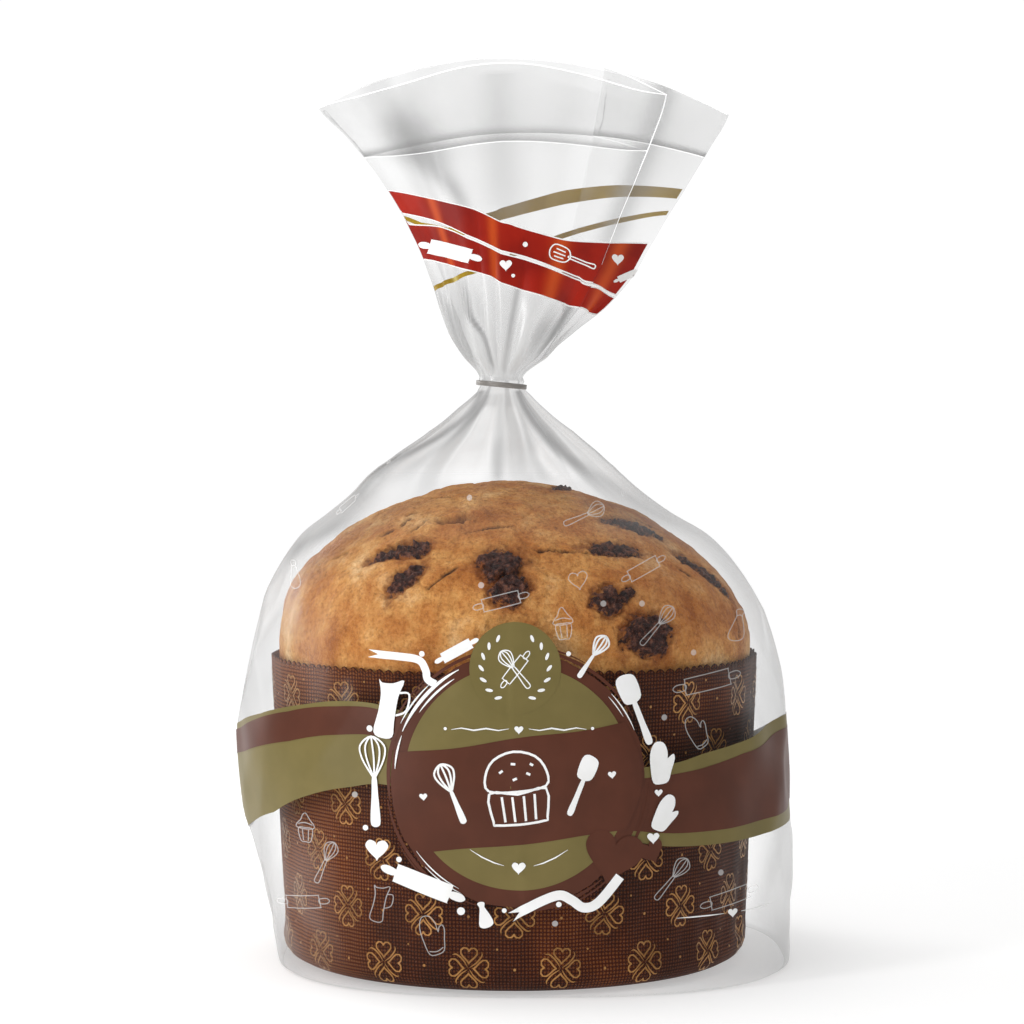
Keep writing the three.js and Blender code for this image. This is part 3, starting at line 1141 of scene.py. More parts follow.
DRAWINGS: dict[Motif, Drawing] = {
    Motif.WHISK: Drawing(
        outlines=(((-0.5, 1.2), (-0.75, -3), (-1.1, -8.5), (-0.6, -9.8), (0.6, -9.8), (1.1, -8.5),
                   (0.75, -3), (0.5, 1.2)),),
        lines=(((-0.4, 1.2), (-2.6, 5.0), (-2.9, 8.0), (0, 10), (2.9, 8.0), (2.6, 5.0), (0.4, 1.2)),
               ((-0.2, 1.2), (-1.5, 5.0), (-1.6, 8.0), (0, 9.9), (1.6, 8.0), (1.5, 5.0), (0.2, 1.2)),
               ((0, 1.2), (0.2, 5.5), (0, 9.8))),
    ),
    Motif.ROLLING_PIN: Drawing(
        outlines=(((-6.4, -1.9), (-6.1, -2.1), (0, -2.15), (6.1, -2.1), (6.4, -1.9), (6.45, 0), (6.4, 1.9),
                   (6.1, 2.1), (0, 2.15), (-6.1, 2.1), (-6.4, 1.9), (-6.45, 0)),
                  ((6.4, -0.7), (8.8, -0.9), (9.9, 0), (8.8, 0.9), (6.4, 0.7)),
                  ((-6.4, 0.7), (-8.8, 0.9), (-9.9, 0), (-8.8, -0.9), (-6.4, -0.7))),
    ),
    Motif.HEART: Drawing(outlines=(tuple(heart(0, 0, 18, 0, 12)[:-1]),)),
    Motif.SPATULA: Drawing(
        outlines=(((-2.6, 3.0), (-2.9, 8.4), (-1.2, 10), (1.8, 9.4), (2.7, 7.5), (2.4, 3.2), (0.6, 1.9),
                   (-0.8, 1.9)),
                  ((-0.6, 2.2), (-0.8, -4), (-1.0, -9), (0, -10), (1.0, -9), (0.8, -4), (0.6, 2.2))),
    ),
    Motif.MITT: Drawing(
        outlines=(((-3.2, -6.5), (-3.9, -1), (-3.7, 5), (-1.6, 9.2), (1.8, 9.0), (3.4, 5.5), (3.2, 1.6),
                   (4.4, 3.4), (5.9, 3.9), (6.1, 1.8), (4.6, -2.2), (3.0, -6.5), (0, -7.4)),),
        lines=(((-3.0, -5.2), (0, -6.1), (3.0, -5.2)),),
    ),
    Motif.JUG: Drawing(
        outlines=(((-4.6, 8.2), (-3.4, 7.4), (0, 8.0), (3.2, 9.6), (2.4, 4), (2.8, -4), (3.2, -8.6),
                   (0, -9.8), (-3.2, -8.6), (-2.9, -2), (-3.2, 4)),),
        lines=(((2.6, 5.5), (5.6, 5.8), (5.8, 0.5), (2.8, -1.8)),),
    ),
    Motif.SACK: Drawing(
        outlines=(((-3.0, 8.5), (-1.0, 9.6), (1.6, 9.0), (2.4, 7.6), (1.6, 5.4), (4.2, -1), (5.4, -7),
                   (2.6, -9.6), (-2.4, -9.8), (-5.0, -7.2), (-3.6, -1), (-2.0, 5.2)),),
        lines=(((-1.8, 5.4), (0, 6.0), (1.6, 5.4)),),
    ),
    Motif.CUPCAKE: Drawing(
        outlines=(((-4.6, -0.4), (-3.4, -8.2), (0, -8.8), (3.4, -8.2), (4.6, -0.4), (0, 0.2)),
                  ((-5.6, 0.2), (-5.2, 2.6), (-2.8, 5.2), (-1.6, 8.2), (0.2, 9.6), (1.8, 7.4),
                   (3.4, 4.8), (5.4, 2.4), (5.4, 0.2), (0, -0.6))),
        lines=(((-4.6, 2.4), (0, 3.4), (4.6, 2.2)), ((-2.0, -1), (-1.6, -8)), ((2.0, -1), (1.6, -8))),
    ),
    Motif.CAKE: Drawing(
        outlines=(((-7.6, -0.4), (-8.2, 3.6), (-5.6, 7.8), (0, 9.6), (5.6, 7.8), (8.2, 3.6), (7.6, -0.4),
                   (0, -1.2)),
                  ((-7.6, -1.0), (-7.2, -8.6), (-6.4, -9.6), (0, -10), (6.4, -9.6), (7.2, -8.6),
                   (7.6, -1.0), (0, -1.9))),
        lines=(((-4.4, -2.2), (-4.1, -9.0)), ((-1.5, -2.5), (-1.4, -9.2)), ((1.5, -2.5), (1.4, -9.2)),
               ((4.4, -2.2), (4.1, -9.0)), ((-4.4, 4.2), (-3.4, 4.8)), ((-1.0, 6.4), (0.2, 6.2)),
               ((2.8, 3.6), (3.8, 3.0)), ((-0.9, 2.0), (0.2, 2.4)), ((4.0, 6.0), (4.8, 5.4))),
    ),
    Motif.SKIMMER: Drawing(
        outlines=(((-2.7, 2.6), (-3.3, 5.6), (-2.9, 8.8), (0, 10), (2.9, 8.8), (3.3, 5.6), (2.7, 2.6),
                   (0.7, 1.2), (-0.7, 1.2)),
                  ((-0.55, 1.2), (-0.6, -6), (-0.9, -9.4), (0, -10), (0.9, -9.4), (0.6, -6),
                   (0.55, 1.2))),
        lines=(((-1.6, 3.6), (-1.8, 7.6)), ((-0.2, 3.2), (-0.2, 8.4)), ((1.3, 3.6), (1.5, 7.6))),
    ),
}


def draw(pen: Pen, motif: Motif, ink: Ink, width: float) -> None:
    """Draws a motif at the pen's place.

    Args:
        pen: where and on what to draw.
        motif: what to draw.
        ink: filled, or in outline.
        width: line width in millimetres.
    """
    drawing = DRAWINGS[motif]
    spacing = pen.grain / pen.size
    for outline in drawing.outlines:
        edge = resample(smooth_path(outline, 3, closed=True), spacing)
        if ink is Ink.SOLID:
            pen.fill(edge)
        else:
            pen.stroke(edge, width)
    for line in drawing.lines:
        pen.stroke(resample(smooth_path(line, 4), spacing), width)


# ---- film bag ----


@dataclass(frozen=True)
class Ring:
    """A level section of the tied bag below its neck: a squarish oval, in millimetres.

    Args:
        z: its height.
        left, right: how far it reaches to either side of the loaf's axis.
        depth: how far it reaches to the front and to the back.
        square: its squareness, 2 for an ellipse.
    """

    z: float
    left: float
    right: float
    depth: float
    square: float = 2.0


class Layer(Enum):
    """The film's layers in the open mouth, as the first and last turn of each."""

    FRONT = (-0.25, 51 / TURN)
    SIDE = (71 / TURN, 109 / TURN)
    REAR = (109 / TURN, 0.75)


@dataclass(eq=False)
class FilmShape:
    """The film as it hangs: flat under the loaf, slack round it, gathered at the neck and fanned out.

    A place on it is a turn, from 0 at the front towards the right, and a level: its height on the
    body, negative under the loaf, and measured up the fan above the neck.
    """

    neck_x: float = -3.5
    neck_z: float = 153.3
    fan_height: float = 87.2
    under: float = 66.0
    mould_top: float = 81.5
    mould_radii: Pair = (62.1, 65.2)
    crust_gap: float = 1.3
    film_gap: float = 0.45
    droop_left: float = 0.006
    droop_right: float = 0.0042
    rings: tuple[Ring, ...] = (
        Ring(0, 61.6, 71.8, 61.6, 2.6), Ring(1, 63.0, 73.3, 63.0, 2.6), Ring(8, 64.8, 73.6, 64.6, 2.5),
        Ring(20, 67.8, 73.7, 66.2, 2.4), Ring(40, 71.8, 73.7, 67.3, 2.25),
        Ring(61, 73.7, 73.7, 67.7, 2.1), Ring(72, 73.0, 72.0, 67.4), Ring(81, 71.3, 69.9, 66.9),
        Ring(92, 68.2, 67.0, 65.2), Ring(98, 66.0, 64.4, 63.4), Ring(103, 63.6, 61.2, 60.6),
        Ring(108, 60.8, 57.0, 57.0), Ring(113, 57.0, 51.0, 52.4), Ring(118, 50.6, 41.8, 45.4),
        Ring(123, 44.6, 34.2, 38.4), Ring(128, 40.0, 28.0, 32.2), Ring(132, 34.4, 23.2, 27.4),
        Ring(140, 22.9, 13.9, 17.9), Ring(146, 15.4, 7.0, 11.2), Ring(151.6, 9.6, 2.6, 6.1),
        Ring(153.3, 9.6, 2.6, 6.1),
    )
    mouth: tuple[tuple[float, float, float, float], ...] = (
        (0.0, 6.1, 6.1, 6.1), (0.02, 6.1, 6.1, 6.1), (0.07, 9.3, 12.0, 8.0), (0.14, 13.0, 19.0, 10.0),
        (0.23, 16.2, 28.5, 11.0), (0.33, 19.4, 35.5, 10.5), (0.46, 24.0, 41.5, 9.5),
        (0.63, 31.5, 49.0, 8.5), (0.82, 41.0, 56.0, 7.6), (1.0, 48.8, 61.0, 7.4),
    )
    folds: tuple[float, ...] = (51 / TURN, 71 / TURN, 109 / TURN, 0.75)
    rim_dips: tuple[Pair, ...] = (
        (-0.25, 0.0), (-0.18, 3.0), (-0.11, 4.4), (-0.025, 3.4), (0.02, 3.2), (0.06, 4.0),
        (0.11, 4.6), (51 / TURN, 3.0), (71 / TURN, 0.0),
    )
    columns: int = 360
    loaf: Loaf | None = None
    levels: list[float] = field(default_factory=list)

    def __post_init__(self) -> None:
        """Picks the heights of the film's rows, closer where it bends."""
        under = [-self.under * (1 - n / 5) for n in range(5)]
        foot = [0.0, 0.25, 0.6, 1.0, 2.0, 3.5, 5.5]
        wall = [8 + n * 2.1 for n in range(44)]
        shoulder = [100.4 + n * 1.2 for n in range(41)]
        neck = [149.4, 150.4, 151.2, 151.8, 152.4, 153.0, self.neck_z]
        fan = [self.neck_z + self.fan_height * (n / 66) ** 1.25 for n in range(1, 67)]
        self.levels = under + foot + wall + shoulder + neck + fan

    @cache
    def section(self, level: float) -> tuple[float, float, float, float]:
        """Reads a body section as (middle, reach, depth, squareness).

        Args:
            level: height in millimetres.

        Returns:
            Its middle, its reach to each side, its depth and its squareness.
        """
        left, right, depth, square = (
            curve_at([(ring.z, getattr(ring, name)) for ring in self.rings], level)
            for name in ("left", "right", "depth", "square")
        )
        return (right - left) / 2, (right + left) / 2, depth, square

    def core(self, level: float) -> float:
        """The radius of what stands inside the bag at a height."""
        if level < self.mould_top:
            return lerp(*self.mould_radii, max(level, 0.0) / self.mould_top)
        return self.loaf.dome_radius(level) + self.crust_gap

    def pleats(self, turn: float, level: float) -> float:
        """Folds that run down from the neck and die out over the crust.

        Args:
            turn: place round the bag.
            level: height in millimetres.

        Returns:
            How far the film stands out, in millimetres.
        """
        near = smoothstep(level, 100, 143)
        if near <= 0:
            return 0.0
        drift = 0.5 * periodic_noise(turn, level, 5, 60, 11.0)
        wide = abs(math.sin(math.pi * 5 * turn + drift * 2 + 0.4)) - 0.6
        fine = abs(math.sin(math.pi * 13 * turn + drift * 5 + 0.7)) - 0.6
        centre = hump((turn + 0.488) % 1, 0.5, 0.035)
        _, reach, depth, _ = self.section(level)
        room = min(reach, depth) * 0.16
        return min(room, 3.0) * near * (1.3 * wide + 0.45 * fine + 1.2 * centre)

    def slack(self, turn: float, level: float) -> float:
        """Loose wrinkles where the film stands off the mould.

        Args:
            turn: place round the bag.
            level: height in millimetres.

        Returns:
            How far the film stands out, in millimetres.
        """
        swing = abs(math.sin(FULL * turn))
        loose = smoothstep(swing, 0.35, 0.9) * (1 - smoothstep(level, 95, 125))
        behind = 0.4 * smoothstep(abs(turn), 0.3, 0.5)
        slant = periodic_noise(turn + level * 0.0022, level, 26, 90, 3.0)
        broad = periodic_noise(turn, level, 8, 55, 17.0)
        crisp = 0.5 - abs(periodic_noise(turn - level * 0.0015, level, 17, 75, 23.0)) * 2.2
        bulge = (loose + behind) * (1.3 * slant + 1.5 * broad + 0.8 * crisp - 0.4)
        return min(bulge, 0.6)

    def body(self, turn: float, level: float, lift: float) -> Vector:
        """A point of the bag from the floor to the neck.

        Args:
            turn: place round it.
            level: height in millimetres.
            lift: how far off the film, in millimetres.

        Returns:
            The point, in millimetres.
        """
        middle, reach, depth, square = self.section(level)
        angle = FULL * turn
        way = Vector((math.sin(angle), -math.cos(angle), 0))
        radius = ((abs(way.x) / reach) ** square + (abs(way.y) / depth) ** square) ** (-1 / square)
        tame = smoothstep(level, 0.5, 14) * (1 - smoothstep(level, 149.5, 151.6))
        radius += tame * (self.slack(turn, level) + self.pleats(turn, level))
        if level > 0.3:
            radius = max(radius, self.core(level) + self.film_gap)
        return Vector((middle, 0, level)) + way * (radius + lift)

    @staticmethod
    @cache
    def outline(step: int) -> Pair:
        """The flattened mouth seen from above, with its folds.

        Args:
            step: place round it, in 64ths of a degree from the front.

        Returns:
            The point, from -1 to 1 both ways.
        """
        turn = step / (64 * TURN)
        stops = (0, 51 / TURN, 71 / TURN, 109 / TURN, 0.5, 0.75, 1.0)
        piece = next(n for n in range(6) if turn <= stops[n + 1])
        t = (turn - stops[piece]) / (stops[piece + 1] - stops[piece])
        a, b, c = (
            ((0, -1), (0.4, -1.0), (0.72, -0.55)), ((0.72, -0.55), (0.6, -0.1), (0.45, 0.1)),
            ((0.45, 0.1), (0.72, 0.2), (1, 0.6)), ((1, 0.6), (0.5, 1.0), (0, 1)),
            ((0, 1), (-0.6, 1.0), (-1, 0)), ((-1, 0), (-0.6, -1.0), (0, -1)),
        )[piece]
        return tuple((1 - t) ** 2 * a[k] + 2 * t * (1 - t) * b[k] + t * t * c[k] for k in (0, 1))

    def fan(self, turn: float, level: float, lift: float) -> Vector:
        """A point of the open mouth above the neck.

        Args:
            turn: place round it.
            level: how far up it, measured from the floor, in millimetres.
            lift: how far off the film, in millimetres.

        Returns:
            The point, in millimetres.
        """
        share = (level - self.neck_z) / self.fan_height
        here = self._fan_flat(turn, share)
        step = 0.5 / TURN
        ahead, behind = self._fan_flat(turn + step, share), self._fan_flat(turn - step, share)
        out = Vector((ahead[1] - behind[1], behind[0] - ahead[0])).normalized()
        near_fold = min(abs((turn - fold + 0.5) % 1 - 0.5) for fold in self.folds)
        calm = lerp(1.0, smoothstep(near_fold, 0.0, 0.05), smoothstep(share, 0.1, 0.4))
        push = self._gathers(turn, share) * calm + lift
        x, y = here[0] + out.x * push, here[1] + out.y * push
        droop = self.droop_left if x < 0 else self.droop_right
        height = self.neck_z + self.fan_height * share - droop * (x * share) ** 2
        height -= curve_at(self.rim_dips, (turn + 0.5) % 1 - 0.5) * smoothstep(share, 0.5, 1.0)
        return Vector((self.neck_x + x, y, height))

    def _fan_flat(self, turn: float, share: float) -> Pair:
        """A point of the mouth's section before its gathers, about the neck.

        Args:
            turn: place round it.
            share: place up it, from 0 at the neck to 1 at the rim.

        Returns:
            How far to the right and how far back it is, in millimetres.
        """
        left, right, depth = self._mouth_section(share)
        flat = smoothstep(share, 0.0, 0.33)
        angle = FULL * turn
        round_x, round_y = math.sin(angle), -math.cos(angle)
        out_x, out_y = self.outline(round((turn % 1.0) * TURN * 64))
        side = left if round_x < 0 else right
        wide = lerp(left, right, smoothstep(round_x, -0.3, 0.3)) if share < 0.02 else side
        x = lerp(round_x * wide, out_x * (left if out_x < 0 else right), flat)
        y = lerp(round_y, out_y, flat) * depth
        return x, y

    @cache
    def _mouth_section(self, share: float) -> tuple[float, float, float]:
        """Reads a section of the mouth as its reach to the left, to the right and in depth."""
        return tuple(curve_at([(m[0], m[k]) for m in self.mouth], share) for k in (1, 2, 3))

    def _gathers(self, turn: float, share: float) -> float:
        """Pleats that spring from the neck and relax towards the rim.

        Args:
            turn: place round the mouth.
            share: place up it, from 0 at the neck to 1 at the rim.

        Returns:
            How far the film stands out, in millimetres.
        """
        tight = hump(share, 0.17, 0.17)
        start = smoothstep(share, 0.012, 0.1)
        drift = 0.6 * periodic_noise(turn, share * 90, 6, 70, 31.0)
        folds = 0.0
        for count, weight, phase in ((7, 1.1, 0.3), (12, 0.8, 1.9), (21, 0.3, 0.9)):
            folds += weight * (abs(math.sin(math.pi * count * turn + phase + drift * count / 9)) - 0.6)
        broad = periodic_noise(turn, share * 87, 9, 120, 41.0)
        return start * ((2.2 * tight + 0.22) * folds * 0.8 + 1.5 * broad * smoothstep(share, 0.2, 0.8))

    @cache
    def corner(self, column: int, row: int) -> Vector:
        """A corner of the film's mesh.

        Args:
            column: its place round the bag, from 0 to the number of columns.
            row: its place up the bag.

        Returns:
            The point, in metres.
        """
        turn, level = (column % self.columns) / self.columns, self.levels[row]
        if level < 0:
            share = 1 + level / self.under
            return self.body(turn, 0.0, 0.0) * share * MM
        bent = self.body if level <= self.neck_z else self.fan
        return bent(turn, level, 0.0) * MM

    def at(self, turn: float, level: float, lift: float = 0.0) -> Vector:
        """A point on the film's mesh, in metres, so that a print lies on it everywhere.

        Args:
            turn: place round it.
            level: place up it.
            lift: how far off the film, in millimetres.

        Returns:
            The point.
        """
        across = (turn % 1.0) * self.columns
        column = int(across)
        row = min(max(bisect_right(self.levels, level) - 1, 0), len(self.levels) - 2)
        low, high = self.levels[row], self.levels[row + 1]
        u, v = across - column, min(max((level - low) / (high - low), 0.0), 1.0)
        a, b = self.corner(column, row), self.corner(column + 1, row)
        c, d = self.corner(column, row + 1), self.corner(column + 1, row + 1)
        out = (b - a + d - c).cross(c - a + d - b).normalized()
        low_out = self.outward(column, row).lerp(self.outward(column + 1, row), u)
        high_out = self.outward(column, row + 1).lerp(self.outward(column + 1, row + 1), u)
        smooth = low_out.lerp(high_out, v).normalized()
        if smooth.dot(out) > 0.7:
            out = smooth
        return a.lerp(b, u).lerp(c.lerp(d, u), v) + out * lift * MM

    def mouth_at(self, turn: float, share: float, lift: float) -> Vector:
        """A point on the open mouth, in metres, at a share of the way up it."""
        return self.at(turn, self.neck_z + self.fan_height * share, lift)

    @cache
    def outward(self, column: int, row: int) -> Vector:
        """The direction the film faces at a corner of its mesh, smoothed over its neighbours."""
        low, high = max(row - 1, 0), min(row + 1, len(self.levels) - 1)
        along = self.corner(column + 1, row) - self.corner(column - 1, row)
        up = self.corner(column, high) - self.corner(column, low)
        return along.cross(up).normalized()

    def front(self, x: float, level: float, lift: float = 0.0) -> Vector:
        """A point of the body's front.

        Args:
            x: distance to the side of the loaf's axis, in millimetres.
            level: height in millimetres.
            lift: how far off the film, in millimetres.

        Returns:
            The point, in metres.
        """
        middle, reach, depth, square = self.section(level)
        side = min(abs(x - middle) / reach, 0.999)
        ahead = depth * (1 - side**square) ** (1 / square)
        return self.at(math.atan2(x - middle, ahead) / FULL, level, lift)

    def fan_turn(self, dx: float, share: float, layer: Layer) -> float:
        """Finds a place on a layer of the mouth.

        Args:
            dx: distance to the right of the neck's axis, in millimetres.
            share: place up the mouth, from 0 to 1.
            layer: which layer.

        Returns:
            The turn.
        """
        low, high = layer.value
        rising = layer is not Layer.REAR
        for _ in range(24):
            middle = (low + high) / 2
            if (self._fan_flat(middle, share)[0] < dx) == rising:
                low = middle
            else:
                high = middle
        return (low + high) / 2


@dataclass(frozen=True)
class PaintedStreak:
    """A long soft fold in the film, as rows of (level, distance from the axis, half width, depth).

    The distance is to the side of the loaf's axis on the body, and of the neck's axis on the mouth,
    in millimetres. The level is a height in millimetres on the body, and a share on the mouth. The
    depth is the painted shade along the fold, from 0 to 1, or a painted highlight where it is
    negative. The same kind of rows also lays streaks of painted highlight that follow no fold.
    """

    rows: tuple[tuple[float, float, float, float], ...]

    def depth(self, across: float, level: float) -> float:
        """How deep the fold is at a place."""
        if not self.rows[0][0] <= level <= self.rows[-1][0]:
            return 0.0
        at, half, deep = (curve_at([(row[0], row[k]) for row in self.rows], level) for k in (1, 2, 3))
        return deep * hump(across, at, half) if abs(across - at) < 3 * half else 0.0


# Painted shade along the folds of the body's front, and painted highlights where the depth is negative.
BODY_PAINTED_FOLD_SHADING = tuple(PaintedStreak(rows) for rows in (
    ((126, -4.3, 1.6, 0.0), (129, -4.3, 1.7, 0.34), (135, -4.3, 2.6, 0.34),
            (141, -4.3, 3.2, 0.2), (149.8, -4.5, 3.6, 0.1)),
    ((125, 8.8, 3.5, 0.0), (128.5, 7.5, 3.0, 0.2), (133.8, 5.2, 2.2, 0.24), (139, 3.2, 1.2, 0.2),
            (146, 1.5, 0.8, 0.05)),
    ((112, 43.0, 6.0, 0.0), (119.4, 34.1, 6.0, 0.16), (125.3, 25.5, 4.5, 0.22),
            (133.2, 14.0, 2.6, 0.34), (136.9, 9.7, 2.0, 0.45), (143.3, 4.4, 1.6, 0.5),
            (150.5, 0.9, 1.0, 0.5)),
    ((126, -37.0, 4.0, 0.0), (130.3, -35.1, 3.4, 0.3), (134.2, -27.8, 2.2, 0.45),
            (139, -19.2, 1.8, 0.5), (144.9, -11.9, 1.5, 0.5), (150.5, -8.9, 1.0, 0.45)),
    ((104, -60.0, 3.0, 0.0), (109.9, -55.5, 3.4, 0.3), (114.7, -47.6, 4.0, 0.3),
            (119.4, -42.4, 3.8, 0.22), (125.1, -38.5, 3.6, 0.25), (131.5, -34.0, 2.0, 0.0)),
    ((124, -33.0, 3.5, 0.0), (130.5, -27.0, 2.6, 0.18), (135.3, -20.6, 1.8, 0.2),
            (140.1, -14.4, 1.2, 0.25), (146.5, -8.6, 0.8, 0.3), (150.5, -7.4, 0.8, 0.2)),
    ((127, -15.0, 9.0, 0.0), (131, -13.0, 7.0, -0.3), (138, -9.5, 3.6, -0.45),
            (147, -6.4, 1.6, -0.2)),
    ((127, 1.2, 3.0, 0.0), (131, 0.8, 2.5, -0.3), (138, 0.0, 2.0, -0.4), (147, -0.8, 1.2, -0.1)),
    ((127, 14.5, 4.0, 0.0), (130, 11.5, 3.0, -0.25), (133, 8.5, 2.5, -0.3), (138, 6.4, 1.5, 0.0)),
))
# Painted highlights: pale streaks on the film over the mould's left side.
BODY_PAINTED_HIGHLIGHTS = tuple(PaintedStreak(rows) for rows in (
    ((56, -51.0, 3.0, 0.0), (62, -51.0, 3.2, 0.08), (74, -50.5, 3.0, 0.11), (90, -50.0, 5.0, 0.08),
            (100, -46.0, 6.0, 0.0)),
    ((56, -42.5, 1.4, 0.0), (62, -42.5, 1.5, 0.12), (74, -42.0, 1.6, 0.14), (80, -42.0, 1.4, 0.0)),
    ((0, -50.0, 3.0, 0.0), (6, -50.0, 4.0, 0.04), (30, -52.0, 5.0, 0.05), (46, -54.0, 4.0, 0.0)),
))
# Painted shade along the folds of the mouth's front layer, and painted highlights where the depth is
# negative.
MOUTH_PAINTED_FOLD_SHADING = tuple(PaintedStreak(rows) for rows in (
    ((0.5, -8.5, 2.0, 0.0), (0.533, -10.1, 2.2, 0.24), (0.582, -12.6, 2.8, 0.36),
            (0.655, -17.2, 4.0, 0.42), (0.74, -21.4, 6.4, 0.48), (0.852, -25.5, 6.0, 0.36),
            (0.93, -27.0, 5.0, 0.12), (1.0, -27.0, 5.0, 0.0)),
    ((0.5, 0.6, 4.4, 0.0), (0.531, 0.8, 4.6, 0.12), (0.77, 0.0, 4.6, 0.15),
            (0.967, -0.9, 4.6, 0.13)),
    ((0.72, 10.0, 5.0, 0.0), (0.76, 12.0, 7.0, 0.04), (0.83, 18.4, 8.0, 0.08),
            (0.95, 22.0, 9.0, 0.06)),
    ((0.03, -1.9, 0.6, 0.2), (0.06, -2.6, 0.7, 0.55), (0.137, -4.4, 0.95, 0.6),
            (0.195, -8.2, 1.1, 0.55), (0.262, -9.3, 1.3, 0.35), (0.32, -10.4, 1.4, 0.0)),
    ((0.02, -6.4, 0.8, 0.2), (0.118, -11.4, 1.2, 0.28), (0.215, -14.0, 1.4, 0.3),
            (0.283, -17.2, 1.4, 0.12), (0.32, -18.5, 1.4, 0.0)),
    ((0.012, 6.0, 0.7, 0.4), (0.061, 9.6, 1.0, 0.5), (0.128, 13.2, 1.1, 0.5),
            (0.229, 18.2, 1.1, 0.4), (0.3, 22.0, 1.2, 0.1), (0.36, 25.0, 1.2, 0.0)),
    ((0.06, 6.5, 1.4, 0.0), (0.147, 9.8, 2.6, 0.26), (0.205, 12.5, 2.6, 0.12),
            (0.27, 15.0, 2.6, 0.0)),
    ((0.03, 0.7, 0.5, 0.15), (0.166, 2.5, 0.8, 0.32), (0.272, 4.2, 0.9, 0.28),
            (0.34, 5.4, 1.0, 0.0)),
    ((0.03, -1.2, 0.7, -0.2), (0.118, -2.6, 1.2, -0.5), (0.205, -5.2, 1.6, -0.45),
            (0.29, -7.0, 1.8, -0.1)),
    ((0.03, 3.2, 0.9, -0.2), (0.118, 5.8, 1.6, -0.35), (0.23, 8.6, 2.4, -0.3),
            (0.33, 10.0, 3.0, 0.0)),
))


